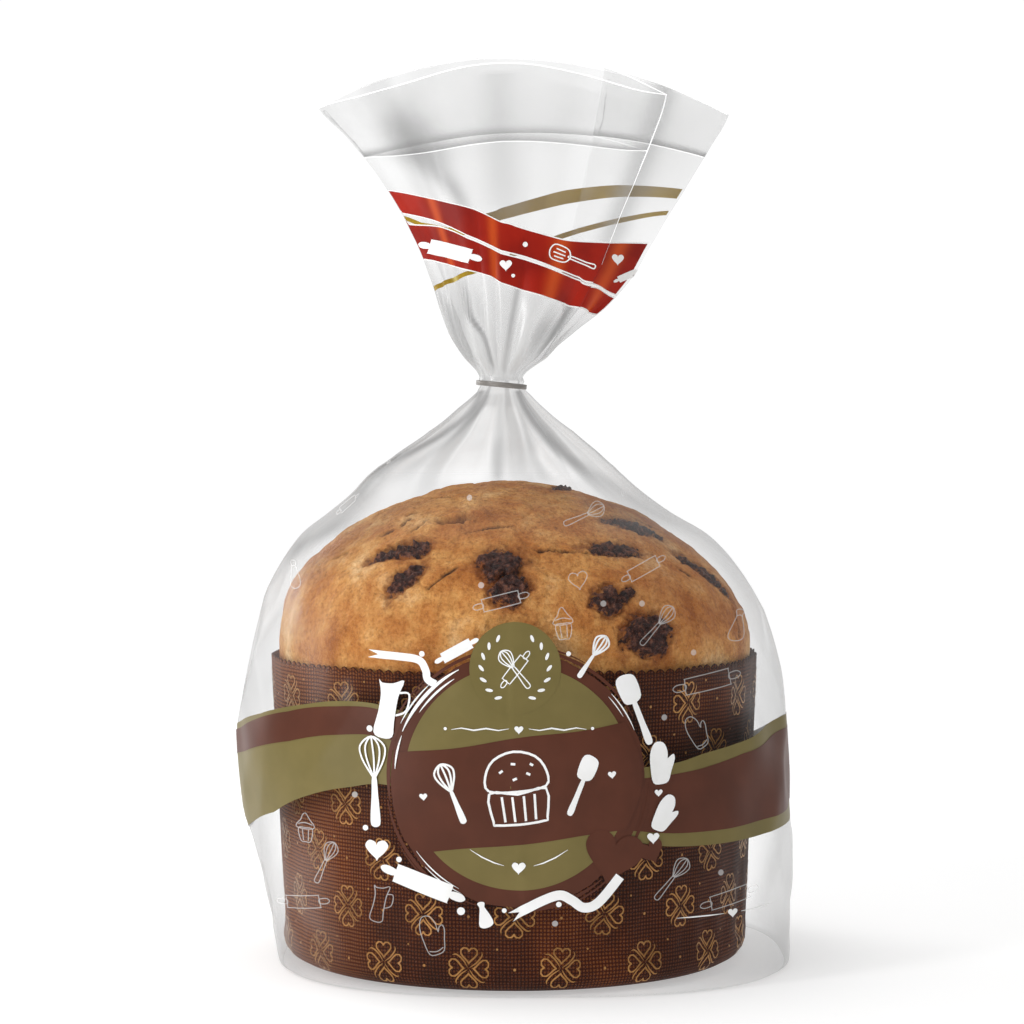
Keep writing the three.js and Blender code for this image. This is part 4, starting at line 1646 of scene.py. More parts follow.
@dataclass
class Bag:
    """The clear film bag: its skin, its turned-in hem and everything printed on it."""

    shape: FilmShape
    film: Material
    hem_film: Material
    edge_highlight_film: Material
    hem_share: float = 0.755

    def build(self) -> list[Piece]:
        """Builds the skin, which stands for the plain bag, and the hem."""
        skin = self._skin()
        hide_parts("bag_film")
        return [skin, self._hem(), self._hem_edge()]

    def _skin(self) -> Piece:
        """The whole film in one bent grid, closed up the back and under the loaf.

        Returns:
            The new object.
        """
        shape, rows = self.shape, len(self.shape.levels) - 1
        bm = bmesh.new()
        haze, crease = (bm.verts.layers.float.new(name) for name in ("haze", "crease"))
        for vert in bent_grid(bm, shape.columns, rows, lambda u, v: Vector((u, v, 0))):
            column, row = round(vert.co.x * shape.columns), round(vert.co.y * rows)
            spot = shape.corner(column - shape.columns // 2, row)
            turn, level = column / shape.columns - 0.5, shape.levels[row]
            vert[haze], vert[crease] = self.look(turn, level, spot)
            vert.co = spot
        neck = shape.neck_z * MM
        folds = [round(fold * shape.columns) for fold in shape.folds]
        creases = [
            {tuple(shape.corner(fold, row)) for row in range(rows + 1)} for fold in folds
        ]
        for edge in bm.edges:
            ends = [tuple(vert.co) for vert in edge.verts]
            if ends[0][2] > neck + 0.008 and any(ends[0] in c and ends[1] in c for c in creases):
                edge.smooth = False
        for face in bm.faces:
            face.material_index = int(face.calc_center_median().z > neck)
        bmesh.ops.remove_doubles(bm, verts=bm.verts, dist=1e-6)
        bmesh.ops.recalc_face_normals(bm, faces=bm.faces)
        skin = piece_from(bm, "bag_skin", self.film)
        skin.data.materials.append(self.hem_film)
        return skin

    def look(self, turn: float, level: float, spot: Vector) -> Pair:
        """How the film looks at a place.

        Args:
            turn: place round it, from -0.5 to 0.5.
            level: place up it.
            spot: the place itself, in metres.

        Returns:
            How milky it is and how much painted shade its folds hold, both from 0 to 1.
        """
        shape = self.shape
        if level <= shape.neck_z:
            return self._body_look(turn, level, spot)
        share = (level - shape.neck_z) / shape.fan_height
        streak = periodic_noise(turn, level, 34, 160, 7.0)
        tight = 1 - smoothstep(share, 0.02, 0.42)
        across = spot.x / MM - shape.neck_x
        # Painted shade: along the front layer's folds, with painted highlights where negative; a painted
        # shadow cast by the front layer's edge on the side layer; painted fold shade behind.
        folds = 0.0
        if Layer.FRONT.value[0] <= turn <= Layer.FRONT.value[1]:
            folds = sum(crease.depth(across, share) for crease in MOUTH_PAINTED_FOLD_SHADING)
        elif Layer.SIDE.value[0] <= turn <= Layer.SIDE.value[1]:
            beside = across - shape.fan(Layer.FRONT.value[1], level, 0.0).x + shape.neck_x
            folds = 0.3 * hump(beside, 0.0, 3.5) * smoothstep(share, 0.3, 0.5)
        elif turn > 0:
            folds = 0.05 * tight
        else:
            folds = periodic_noise(turn, level, 22, 140, 51.0)
            folds = 0.3 * tight * max(folds, 0.0) + 0.1 * smoothstep(folds, 0.1, 0.5)
        hidden = Layer.FRONT.value[1] < turn < Layer.SIDE.value[0]
        # The film is milkier where its painted shade lies and, more so, along the painted highlights.
        milk = 0.03 if hidden else 0.16 + 0.14 * streak + 0.36 * tight - 0.6 * min(folds, 0.0)
        milk += 0.5 * max(folds, 0.0)
        return min(max(milk, 0.03), 0.92), min(max(folds + 0.03 * tight, 0.0), 0.85)

    def _body_look(self, turn: float, level: float, spot: Vector) -> Pair:
        """How the film looks below the neck.

        Args:
            turn: place round it, from -0.5 to 0.5.
            level: height in millimetres.
            spot: the place itself, in metres.

        Returns:
            How milky it is and how much painted shade its folds hold, both from 0 to 1.
        """
        swing = math.sin(FULL * turn)
        # Painted shade: the film is greyer at its left and right sides, greyer still at the sides near the
        # floor, and greyer towards the neck.
        beside = smoothstep(abs(swing), 0.78, 0.98) * (1 - smoothstep(level, 108, 130))
        wrinkle = smoothstep(periodic_noise(turn + level * 0.0022, level, 30, 60, 3.0), 0.0, 0.5)
        foot = 1 - smoothstep(level, 2, 14)
        neck = smoothstep(level, 104, 132)
        tight = smoothstep(level, 138, 152)
        grey = 0.09 * beside * (0.8 + 0.5 * wrinkle) + 0.05 * neck
        grey += 0.05 * foot * smoothstep(abs(swing), 0.3, 0.8)
        front = 1.0 if spot.y < 0 else 0.0
        across = spot.x / MM
        # Painted shade along the front's folds, with painted highlights where negative; a painted pattern
        # of fold shade on the back.
        folds = front * sum(crease.depth(across, level) for crease in BODY_PAINTED_FOLD_SHADING)
        if not front:
            drift = 0.7 * periodic_noise(turn, level, 5, 70, 61.0)
            wave = math.sin(FULL * 9 * turn + 3 * drift)
            folds = 0.3 * smoothstep(wave, 0.5, 1.0) - 0.12 * max(-wave, 0.0)
            folds *= smoothstep(level, 112, 140)
        open_neck = smoothstep(level, 124, 136)
        # Milkier at the sides and the foot with their painted shade, at the neck, along the painted
        # highlights, and along the painted highlight streaks over the mould.
        milk = 0.001 + 0.05 * beside * (1 + wrinkle + foot) + 0.08 * open_neck + 0.16 * tight
        milk += open_neck * (0.35 * max(folds, 0.0) - 0.7 * min(folds, 0.0))
        milk += front * sum(glint.depth(across, level) for glint in BODY_PAINTED_HIGHLIGHTS)
        return min(max(milk, 0.0), 0.9), min(max(grey + folds, 0.0), 0.85)

    def _hem(self) -> Piece:
        """The film turned in round the mouth, just inside the skin.

        Returns:
            The new object.
        """
        bm = bmesh.new()
        haze, crease = (bm.verts.layers.float.new(name) for name in ("haze", "crease"))
        for vert in bent_grid(bm, self.shape.columns, 22, lambda u, v: Vector((u, v**1.5, 0))):
            turn, up = vert.co.x - 0.5, vert.co.y
            # Painted shade: a dark band just above the hem's cut edge, where the film is also a little
            # milkier.
            edge = hump(up, 0.0, 0.07)
            hidden = Layer.FRONT.value[1] < turn < Layer.SIDE.value[0]
            vert[haze], vert[crease] = (0.02, 0.0) if hidden else (0.07 + 0.3 * edge, 0.34 * edge)
            inward = -0.4 * (1 - smoothstep(up, 0.9, 1.0))
            vert.co = self.shape.mouth_at(turn, lerp(self.hem_line(turn), 1.0, up), inward)
        face_outward(bm, lambda point: Vector((0.0, point.y, 0.0)))
        return piece_from(bm, "bag_hem", self.hem_film, 1e-6)

    def hem_line(self, turn: float) -> float:
        """Where the hem's cut edge lies, as a share of the fan's height."""
        return self.hem_share - 0.012 * math.cos(FULL * turn) + 0.02 * math.sin(FULL * turn)

    def _hem_edge(self) -> Piece:
        """The hem's cut edge, the rim and the front fold, as thin strips of white glowing film: painted
        highlights.

        Returns:
            The new object.
        """
        bm = bmesh.new()
        haze = bm.verts.layers.float.new("haze")
        shape, fold = self.shape, self.shape.folds[0]
        for columns, line, milk in (
            (shape.columns, lambda u, v: (u - 0.5, self.hem_line(u - 0.5) - 0.0035 * v), 0.5),
            (shape.columns, lambda u, v: (u - 0.5, 1 - 0.004 * v), 0.75),
            (40, lambda u, v: (fold - 0.0012 * v, lerp(0.36, 1.0, u)), 0.7),
        ):
            for vert in bent_grid(bm, columns, 1, lambda u, v: shape.mouth_at(*line(u, v), 0.12)):
                vert[haze] = milk
        return piece_from(bm, "bag_painted_edge_highlights", self.edge_highlight_film)


@dataclass
class BodyPrint:
    """What is printed on the bag's body: the round label place, ribbons and kitchen drawings."""

    shape: FilmShape
    olive: Material
    brown: Material
    white: Material
    faint: Material
    centre: Pair = (0.6, 55.0)
    ring_radius: float = 31.4
    disc_radius: float = 27.8
    badge_centre: Pair = (0.1, 82.3)
    badge_radius: float = 11.2
    wreath_radius: float = 8.3
    lift_mm: float = 0.12
    layer_mm: float = 0.08
    olive_top: tuple[Pair, ...] = (
        (-130, 54.5), (-100, 58.5), (-80.6, 63.3), (-64.1, 67.5), (-54.1, 70.3), (-40.3, 72.8),
        (-29.3, 72.7), (-15, 68.0), (0, 60.0), (14, 57.6), (27.4, 57.4), (34.4, 58.0), (41.1, 59.6),
        (50.9, 61.4), (64.8, 64.1), (82.8, 65.4), (97, 63.2), (105, 60.2), (118, 55.0), (130, 53.0),
    )
    brown_top: tuple[Pair, ...] = (
        (-130, 53.0), (-100, 57.0), (-77.6, 62.4), (-53.8, 69.1), (-40.1, 71.5), (-29.2, 71.5),
        (-15, 66.0), (0, 57.6), (14, 54.8), (27.3, 54.7), (34.3, 55.3), (42.8, 56.5), (52.6, 58.7),
        (76.2, 62.1), (97, 60.4), (105, 57.6), (118, 52.4), (130, 50.6),
    )
    brown_bottom: tuple[Pair, ...] = (
        (-130, 48.0), (-100, 51.5), (-73.4, 56.5), (-52.3, 61.8), (-39.4, 64.5), (-27.3, 64.5),
        (-15, 58.0), (0, 47.0), (14, 43.2), (26.1, 41.6), (32.4, 40.7), (40.3, 40.4), (49.4, 40.6),
        (75.1, 41.6), (100, 41.5), (130, 41.0),
    )
    olive_bottom: tuple[Pair, ...] = (
        (-130, 38.5), (-100, 35.0), (-81.3, 35.2), (-57.7, 43.1), (-45.8, 49.0), (-35.6, 51.9),
        (-27.9, 53.0), (-15, 50.0), (0, 43.0), (14, 40.2), (22.9, 39.3), (30.8, 37.6), (40.1, 37.0),
        (49.2, 37.1), (74.7, 38.0), (100, 38.5), (130, 38.8),
    )

    def _lay(self, layer: int) -> Lay:
        """Lays artwork on the body's front, on one of the print's layers."""
        lift = self.lift_mm + self.layer_mm * layer
        return lambda x, z: self.shape.front(x, z, lift)

    def build(self) -> list[Piece]:
        """Prints everything, from the lowest ink to the highest."""
        return [
            self._ribbon("ribbon_olive_print", self.olive, self.olive_top, self.olive_bottom, 0),
            self._ribbon("ribbon_brown_print", self.brown, self.brown_top, self.brown_bottom, 1),
            *self._label(), self._solid_icons(), self._faint_icons(),
        ]

    def _ribbon(self, name: str, ink: Material, top: Sequence[Pair],
                bottom: Sequence[Pair], layer: int) -> Piece:
        """Prints a long ribbon that waves right round the bag.

        Args:
            name: the piece's name.
            ink: its finish.
            top: its upper edge, as (degrees from the front, height in millimetres).
            bottom: its lower edge.
            layer: the print's layer that it lies on.

        Returns:
            The new object.
        """
        top, bottom = self._closed(top), self._closed(bottom)
        lift = self.lift_mm + self.layer_mm * layer

        def place(u: float, v: float) -> Vector:
            """A point of the ribbon, round from the back at 0."""
            high, low = curve_at(top, 360 * u - 180), curve_at(bottom, 360 * u - 180)
            return self.shape.at(u - 0.5, lerp(low, high, v), lift)

        bm = bmesh.new()
        bent_grid(bm, 360, 10, place)
        face_outward(bm, radial)
        return piece_from(bm, name, ink, 1e-6)

    @staticmethod
    def _closed(edge: Sequence[Pair]) -> list[Pair]:
        """Carries a ribbon's edge on round the back, where its ends meet."""
        (start, first), (end, last) = edge[0], edge[-1]
        middle = (first + last) / 2
        return [(end - 360, last), (-180.0, middle), *edge, (180.0, middle), (start + 360, first)]

    def _label(self) -> list[Piece]:
        """The round label place, which holds no wording: a brown brushed ring, band and badge.

        Returns:
            The new objects.
        """
        cx, cz = self.centre
        ring = Pen(self._lay(2))
        ring.put(cx, cz - 0.3)
        edge = []
        for x, z in circle(0, 0, 1.0, 240):
            rough = 0.35 * noise.noise(Vector((5 * x, 5 * z, 1)))
            rough += 0.2 * noise.noise(Vector((22 * x, 22 * z, 4)))
            edge.append(((self.ring_radius + rough) * x, (self.ring_radius + rough) * z))
        ring.fill(edge, 14)
        self._brush_strokes(ring)
        disc = Pen(self._lay(3))
        disc.put(cx + 0.2, cz + 0.4)
        disc.fill(circle(0, 0, self.disc_radius, 180), 14)
        band = Pen(self._lay(4))
        band.put(cx, cz - 0.3)

        def across(u: float, v: float) -> Vector:
            """A point of the band, from left to right and from its lower edge up."""
            x = lerp(lerp(-23.6, 26.6, u), lerp(-28.8, 26.4, u), v)
            low = lerp(-18.2, -12.6, u) + 0.25 * math.sin(9 * u)
            high = lerp(6.4, 13.9, u) + 0.3 * math.sin(11 * u + 2)
            bow = 2.4 * math.sin(math.pi * v) * lerp(-1, 1.8, u)
            return band.at(x + bow, lerp(low, high, v))

        bent_grid(band.bm, 48, 22, across)
        badge = Pen(self._lay(4))
        badge.put(*self.badge_centre)
        badge.fill(circle(0, 0, self.badge_radius, 96), 6)
        mark = Pen(self._lay(5))
        self._badge_icon(mark)
        self._ornaments(mark)
        blob = Pen(self._lay(5))
        blob.put(24.2, 36.2, 1.0, -14)
        blob.fill(heart(0, 0, 15.5, 0, 60), 4)
        blob.put(33.4, 36.8, 1.0, 24)
        blob.fill(heart(0, 0, 7.0, 0, 40), 3)
        return [
            ring.finish("label_ring_print", self.brown),
            disc.finish("label_disc_print", self.olive),
            band.finish("label_band_print", self.brown),
            badge.finish("label_badge_print", self.olive),
            mark.finish("label_ornament_print", self.white),
            blob.finish("label_hearts_print", self.brown),
        ]

    def _brush_strokes(self, pen: Pen) -> None:
        """Loose brush strokes round the ring's edge.

        Args:
            pen: what draws them.
        """
        for start, length, reach, width in (
            (28, 60, 32.3, 0.9), (95, 50, 32.6, 0.8), (150, 40, 32.0, 1.1), (190, 62, 32.5, 0.9),
            (262, 48, 32.1, 1.1), (318, 40, 32.6, 0.8), (60, 36, 33.2, 0.5), (208, 40, 33.3, 0.5),
            (128, 34, 33.4, 0.45), (285, 38, 33.2, 0.5),
        ):
            pen.stroke(arc(reach, start, length), width, taper=True)

    def _badge_icon(self, pen: Pen) -> None:
        """The badge's ornament: a whisk and a rolling pin crossed under a heart, between sprays.

        Args:
            pen: what draws it.
        """
        middle, height = self.badge_centre
        for motif, degrees, width in ((Motif.WHISK, 38, 0.3), (Motif.ROLLING_PIN, 52, 0.28)):
            pen.put(middle, height - 0.3, 0.56, degrees)
            draw(pen, motif, Ink.LINE, width)
        for side in (-1, 1):
            for degrees in range(-60, 61, 20):
                x, z = turned(self.wreath_radius, 0.0, degrees)
                lean = side * (degrees + 50) + 90 * (1 - side)
                pen.put(middle + side * x, height + z, 1.0, lean)
                pen.fill(circle(0, 0, 0.95, 12, 0.42), 1)

    def _ornaments(self, pen: Pen) -> None:
        """Plain ornaments on the label: a cake with tools beside it, fine rules and brush marks.

        Args:
            pen: what draws them.
        """
        for motif, x, z, size, degrees, ink, width in (
            (Motif.CAKE, 0.6, 53.2, 0.92, 6, Ink.LINE, 0.6),
            (Motif.WHISK, -15.2, 51.4, 0.78, 22, Ink.SOLID, 0.5),
            (Motif.SPATULA, 16.2, 53.4, 0.78, -22, Ink.SOLID, 0.5),
            (Motif.HEART, -22.4, 50.6, 0.12, 6, Ink.SOLID, 0.4),
            (Motif.HEART, 23.8, 56.0, 0.12, 6, Ink.SOLID, 0.4),
            (Motif.HEART, 1.0, 67.4, 0.13, 0, Ink.SOLID, 0.4),
            (Motif.HEART, 1.0, 33.4, 0.2, 0, Ink.SOLID, 0.4),
        ):
            pen.put(x, z, size, degrees)
            draw(pen, motif, ink, width)
        pen.put(1.0, 67.4)
        for side in (-1, 1):
            rule = [(side * x, 0.25 * math.sin(x)) for x in (2.4, 5, 8, 11, 14, 16.5)]
            pen.stroke(rule, 0.4, taper=True)
            pen.dot(side * 18.0, 0.0, 0.4)
            rule = [(side * x, -34.0 + 0.03 * x * x) for x in (3.6, 6, 9, 12)]
            pen.stroke(rule, 0.35, taper=True)
        pen.put(*self.centre)
        for start, length, reach, width in (
            (118, 40, 30.4, 0.9), (122, 24, 29.0, 0.55), (133, 22, 31.6, 0.45), (160, 16, 30.2, 0.5),
            (216, 26, 30.6, 0.3), (224, 20, 31.4, 0.25), (22, 20, 31.0, 0.35), (30, 12, 30.0, 0.25),
        ):
            pen.stroke(arc(reach, start, length), width, taper=True)
        pen.put(54.0, 19.6)
        pen.stroke([(x, 0.0) for x in (-14, -10, -6, -2.2)], 0.35, taper=True)
        pen.stroke([(x, 0.0) for x in (2.2, 5, 8, 11)], 0.35, taper=True)
        pen.fill(heart(0, 0, 2.6), 2)

    def _solid_icons(self) -> Piece:
        """White kitchen shapes round the label.

        Returns:
            The new object.
        """
        pen = Pen(self._lay(6))
        for motif, x, z, size, degrees in (
            (Motif.ROLLING_PIN, -14.2, 86.4, 0.62, 29),
            (Motif.JUG, -31.2, 72.0, 0.78, -12), (Motif.HEART, -33.9, 37.2, 0.34, 0),
            (Motif.ROLLING_PIN, -22.6, 29.0, 1.12, -20), (Motif.SACK, -7.6, 21.6, 0.34, 14),
            (Motif.SPATULA, 30.0, 71.6, 0.93, 21),
            (Motif.MITT, 35.8, 57.6, 0.62, 4), (Motif.MITT, 36.6, 45.4, 0.55, -24),
            (Motif.HEART, 34.0, 40.0, 0.18, 0), (Motif.HEART, 35.4, 51.0, 0.12, 0),
        ):
            pen.put(x, z, size, degrees)
            draw(pen, motif, Ink.SOLID, 0.5)
        for x, z, size, degrees in ((-34.9, 53.6, 1.12, 4), (18.9, 84.8, 0.6, -35)):
            pen.put(x, z, size, degrees)
            draw(pen, Motif.WHISK, Ink.SOLID, 0.45)
        pen.put(0, 0)
        self._streamers(pen)
        for x, z, radius in (
            (-22.8, 85.5, 0.7), (-36.0, 66.7, 0.8), (-36.7, 42.2, 0.7), (-28.4, 34.8, 0.7),
            (-13.2, 22.4, 1.0), (-2.6, 22.6, 0.6), (10.8, 24.2, 0.7), (13.1, 85.7, 0.6),
        ):
            pen.dot(x, z, radius)
        return pen.finish("label_icons_print", self.white)

    @staticmethod
    def _streamers(pen: Pen) -> None:
        """Two white streamers with forked ends.

        Args:
            pen: what draws them.
        """
        for line, width in (
            (((-33.6, 85.0), (-28.5, 84.7), (-23.6, 84.0), (-21.9, 81.6), (-21.4, 79.4),
              (-19.4, 78.2)), 1.9),
            (((1.2, 22.2), (6.5, 25.0), (11.0, 26.5), (14.0, 25.2), (17.0, 23.3), (20.6, 24.6),
              (25.8, 30.8)), 2.4),
        ):
            path = resample(smooth_path(line, 6), 0.9)
            pen.stroke(path, width)
            (ax, az), (bx, bz) = path[0], path[1]
            length = math.hypot(ax - bx, az - bz)
            back_x, back_z = (ax - bx) / length, (az - bz) / length
            for half in (-width / 2, width / 2):
                root = (ax - back_z * half, az + back_x * half)
                tip = (root[0] + 2.6 * back_x, root[1] + 2.6 * back_z)
                pen.fill([root, tip, (ax, az), root], 1)

    def _faint_icons(self) -> Piece:
        """Fine, half-clear line drawings scattered all round the bag.

        Returns:
            The new object.
        """
        pen = Pen(self._lay(0))
        for motif, x, z, size, degrees in (
            (Motif.WHISK, 17.7, 118.8, 0.6, -70), (Motif.WHISK, 35.7, 91.8, 0.62, -45),
            (Motif.WHISK, 38.8, 29.3, 0.62, -40), (Motif.WHISK, -47.8, 32.2, 0.6, -25),
            (Motif.ROLLING_PIN, 32.6, 105.7, 0.66, 24), (Motif.ROLLING_PIN, -3.4, 98.5, 0.72, 14),
            (Motif.ROLLING_PIN, 48.9, 77.2, 0.95, 8), (Motif.ROLLING_PIN, 53.8, 23.3, 0.8, 10),
            (Motif.ROLLING_PIN, -54.2, 21.0, 0.75, 12), (Motif.HEART, 15.7, 103.6, 0.28, 10),
            (Motif.MITT, 45.9, 64.6, 0.5, 30), (Motif.MITT, -20.5, 15.3, 0.6, 20),
            (Motif.CUPCAKE, 11.9, 93.0, 0.42, 6), (Motif.CUPCAKE, -53.0, 40.4, 0.4, 0),
            (Motif.JUG, -33.7, 23.3, 0.5, -14), (Motif.SACK, -57.8, 103.1, 0.35, 10),
            (Motif.SACK, 57.2, 90.6, 0.4, -10), (Motif.ROLLING_PIN, -43.9, 120.9, 0.4, 40),
        ):
            pen.put(x, z, size, degrees)
            draw(pen, motif, Ink.LINE, 0.24)
        pen.put(0, 0)
        for x, z in (
            (-11.6, 123.2), (-8.3, 102.3), (21.9, 97.7), (31.8, 97.4), (28.9, 123.6), (45.0, 84.8),
            (37.2, 69.3), (-40.0, 50.1), (9.9, 19.3), (51.5, 29.8), (-33.8, 131.8),
        ):
            pen.dot(x, z, 0.75)
        return pen.finish("faint_drawings_print", self.faint)


@dataclass
class FanPrint:
    """What is printed on the open mouth: two red ribbons and thin gold ones, with small icons."""

    shape: FilmShape
    red: Material
    gold: Material
    white: Material
    lift_mm: float = 0.14
    # Where the painted highlight streaks cross the ribbons, as turns round the mouth.
    glints: tuple[float, ...] = (-0.155, -0.02, 0.075, 0.265)

    def build(self) -> list[Piece]:
        """Prints the ribbons and the icons."""
        return [self._gold(), self._red(), self._outlines(), self._icons()]

    def _edge(self, layers: dict[Layer, Sequence[Pair]], tucked: float = 0.0) -> list[Pair]:
        """Places an edge of a ribbon on the mouth.

        Args:
            layers: its points on each layer, as (distance from the neck's axis, share).
            tucked: how far it keeps clear, as a share, where it is folded back out of sight.

        Returns:
            Its points as (turn, share).
        """
        edge = [(self.shape.fan_turn(dx, share, layer), share)
                for layer, points in layers.items() for dx, share in points]
        front, side = Layer.FRONT.value[1], Layer.SIDE.value[0]
        if tucked:
            turns = (front, front + 1 / TURN, side - 1 / TURN, side)
            lifts = (0.0, tucked, tucked, 0.4 * tucked)
            added = [(turn, curve_at(edge, turn) + lift) for turn, lift in zip(turns, lifts)]
            edge = sorted([*edge, *added])
        return edge

    def _band(self, bm: Mesh, top: list[Pair], bottom: list[Pair], lift: float) -> None:
        """Adds a ribbon between two edges.

        Args:
            bm: the mesh to add to.
            top: its upper edge, as (turn, share).
            bottom: its lower edge.
            lift: how far it lies off the film, in millimetres.
        """
        columns = self.shape.columns
        start = math.ceil(max(top[0][0], bottom[0][0]) * columns) / columns
        end = math.floor(min(top[-1][0], bottom[-1][0]) * columns) / columns
        steps = round((end - start) * columns)
        glint = bm.verts.layers.float.get("glint") or bm.verts.layers.float.new("glint")
        for vert in bent_grid(bm, steps, 6, lambda u, v: Vector((u, v, 0))):
            turn = lerp(start, end, vert.co.x)
            share = lerp(curve_at(bottom, turn), curve_at(top, turn), vert.co.y)
            # Painted highlight: how strongly the ink's glint colour shows here.
            vert[glint] = max(hump(turn, at, 0.011) for at in self.glints) * 0.75
            vert.co = self.shape.mouth_at(turn, share, lift)

    def _red_edges(self) -> list[tuple[list[Pair], list[Pair]]]:
        """The upper and lower edges of both red ribbons, which run on round the front fold.

        Returns:
            Each ribbon's two edges, as (turn, share).
        """
        front, side = Layer.FRONT, Layer.SIDE
        return [(self._edge(top, -0.02), self._edge(bottom, 0.05)) for top, bottom in (
            ({front: ((-33.5, 0.63), (-30.1, 0.606), (-17.6, 0.559), (-7.3, 0.52), (2.3, 0.473),
                      (9.7, 0.447), (17.2, 0.427), (28.0, 0.426)), side: ((39.8, 0.439),)},
             {front: ((-33.5, 0.555), (-26.4, 0.53), (-17.6, 0.494), (-8.9, 0.444), (6, 0.379),
                      (20.9, 0.319), (25, 0.304)), side: ((25, 0.304), (33.7, 0.272))}),
            ({front: ((-33.5, 0.52), (-24.6, 0.489), (-16.3, 0.471), (-8.9, 0.432), (6, 0.366),
                      (20.9, 0.306), (25, 0.29)), side: ((25, 0.29), (33, 0.26))},
             {front: ((-33.5, 0.38), (-20.8, 0.364), (-11.8, 0.349), (-2.8, 0.318), (6, 0.275),
                      (17.2, 0.238), (22, 0.227)), side: ((22, 0.227), (30, 0.21))}),
        )]

    def _red(self) -> Piece:
        """The two red ribbons, on the front layer and round its fold."""
        bm = bmesh.new()
        for top, bottom in self._red_edges():
            self._band(bm, top, bottom, self.lift_mm)
        return piece_from(bm, "mouth_red_print", self.red)

    def _outlines(self) -> Piece:
        """The pale edge left along both sides of the red ribbons."""
        bm = bmesh.new()
        for top, bottom in self._red_edges():
            for edge, over, under in ((top, 0.004, 0.002), (bottom, 0.002, 0.004)):
                rims = ([(turn, share + by) for turn, share in edge] for by in (over, -under))
                self._band(bm, *rims, self.lift_mm - 0.05)
        return piece_from(bm, "mouth_pale_print", self.white)

    def _gold(self) -> Piece:
        """The thin gold ribbons, on the rear layer.

        Returns:
            The new object.
        """
        bm = bmesh.new()
        for layer, lift, top, bottom in (
            (Layer.REAR, -self.lift_mm,
             ((50, 0.64), (31.6, 0.626), (17.2, 0.597), (6, 0.559), (-1.4, 0.531), (-7.5, 0.505),
              (-22, 0.44)),
             ((50, 0.603), (31.6, 0.587), (17.2, 0.554), (6, 0.52), (-1.4, 0.495), (-7.5, 0.475),
              (-22, 0.415))),
            (Layer.REAR, -self.lift_mm,
             ((46, 0.558), (31.6, 0.519), (20.9, 0.481), (13, 0.447), (2, 0.4)),
             ((46, 0.542), (31.6, 0.502), (20.9, 0.464), (13, 0.43), (2, 0.386))),
            (Layer.FRONT, self.lift_mm - 0.09,
             ((-30, 0.266), (-18.2, 0.293), (-7.3, 0.337), (0, 0.36)),
             ((-30, 0.252), (-18.2, 0.279), (-7.3, 0.323), (0, 0.346))),
            (Layer.FRONT, self.lift_mm - 0.09,
             ((-33, 0.52), (-21.4, 0.492), (-9, 0.456)), ((-33, 0.504), (-21.4, 0.477), (-9, 0.442))),
        ):
            self._band(bm, self._edge({layer: top}), self._edge({layer: bottom}), lift)
        return piece_from(bm, "mouth_gold_print", self.gold)

    def _lay(self, layer: Layer) -> Lay:
        """Lays artwork on a layer of the mouth, by its distance and height from the neck.

        Args:
            layer: which layer.

        Returns:
            The rule that a pen lays its points by.
        """
        def lay(dx: float, height: float) -> Vector:
            """Lays one point."""
            share = height / self.shape.fan_height
            turn = self.shape.fan_turn(dx, share, layer)
            return self.shape.mouth_at(turn, share, self.lift_mm + 0.1)

        return lay

    def _icons(self) -> Piece:
        """White kitchen shapes on the red ribbons.

        Returns:
            The new object.
        """
        pen = Pen(self._lay(Layer.FRONT), grain=0.6)
        rise = self.shape.fan_height
        for motif, dx, share, size, degrees in (
            (Motif.ROLLING_PIN, -13.5, 0.397, 0.9, -17), (Motif.HEART, 1.2, 0.351, 0.19, 0),
        ):
            pen.put(dx, share * rise, size, degrees)
            draw(pen, motif, Ink.SOLID, 0.4)
        pen.put(18.8, 0.374 * rise, 0.64, 71)
        draw(pen, Motif.SKIMMER, Ink.LINE, 0.35)
        pen.put(0, 0)
        pen.dot(6.3, 0.413 * rise, 0.7)
        pen.dot(3.1, 0.318 * rise, 0.5)
        pen.lay = self._lay(Layer.SIDE)
        pen.put(31.2, 0.385 * rise, 0.2)
        draw(pen, Motif.HEART, Ink.SOLID, 0.4)
        pen.put(34.0, 0.334 * rise, 0.42, 27)
        draw(pen, Motif.ROLLING_PIN, Ink.SOLID, 0.4)
        return pen.finish("mouth_icons_print", self.white)


@dataclass
class Tie:
    """The grey band pulled tight round the bag's neck."""

    material: Material
    x: float = -3.5
    z: float = 152.4
    inner: float = 6.2
    thickness: float = 0.6
    height: float = 1.3
    tilt: float = 5.5

    def build(self) -> Piece:
        """Builds the band as a closed ring round the neck, leaning a little.

        Returns:
            The new object.
        """
        bm = bmesh.new()
        half = self.inner + self.thickness / 2
        bmesh.ops.create_grid(bm, x_segments=1, y_segments=1, size=0.5)
        bmesh.ops.delete(bm, geom=bm.faces[:], context="FACES_ONLY")
        for vert in bm.verts:
            vert.co = Vector((half + vert.co.x * self.thickness, 0, vert.co.y * self.height)) * MM
        bmesh.ops.spin(bm, geom=[*bm.verts, *bm.edges], cent=(0, 0, 0), axis=(0, 0, 1),
                       angle=FULL, steps=96, use_merge=True)
        bmesh.ops.remove_doubles(bm, verts=bm.verts, dist=1e-6)
        for vert in bm.verts:
            x, z = turned(vert.co.x, vert.co.z, -self.tilt)
            vert.co = Vector((self.x * MM + x, vert.co.y, self.z * MM + z))
        bmesh.ops.recalc_face_normals(bm, faces=bm.faces)
        piece = piece_from(bm, "tie_band", self.material)
        edge = piece.modifiers.new("round", "BEVEL")
        edge.width = 0.18 * MM
        edge.segments = 3
        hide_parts("neck_tie")
        return piece


# ---- studio ----


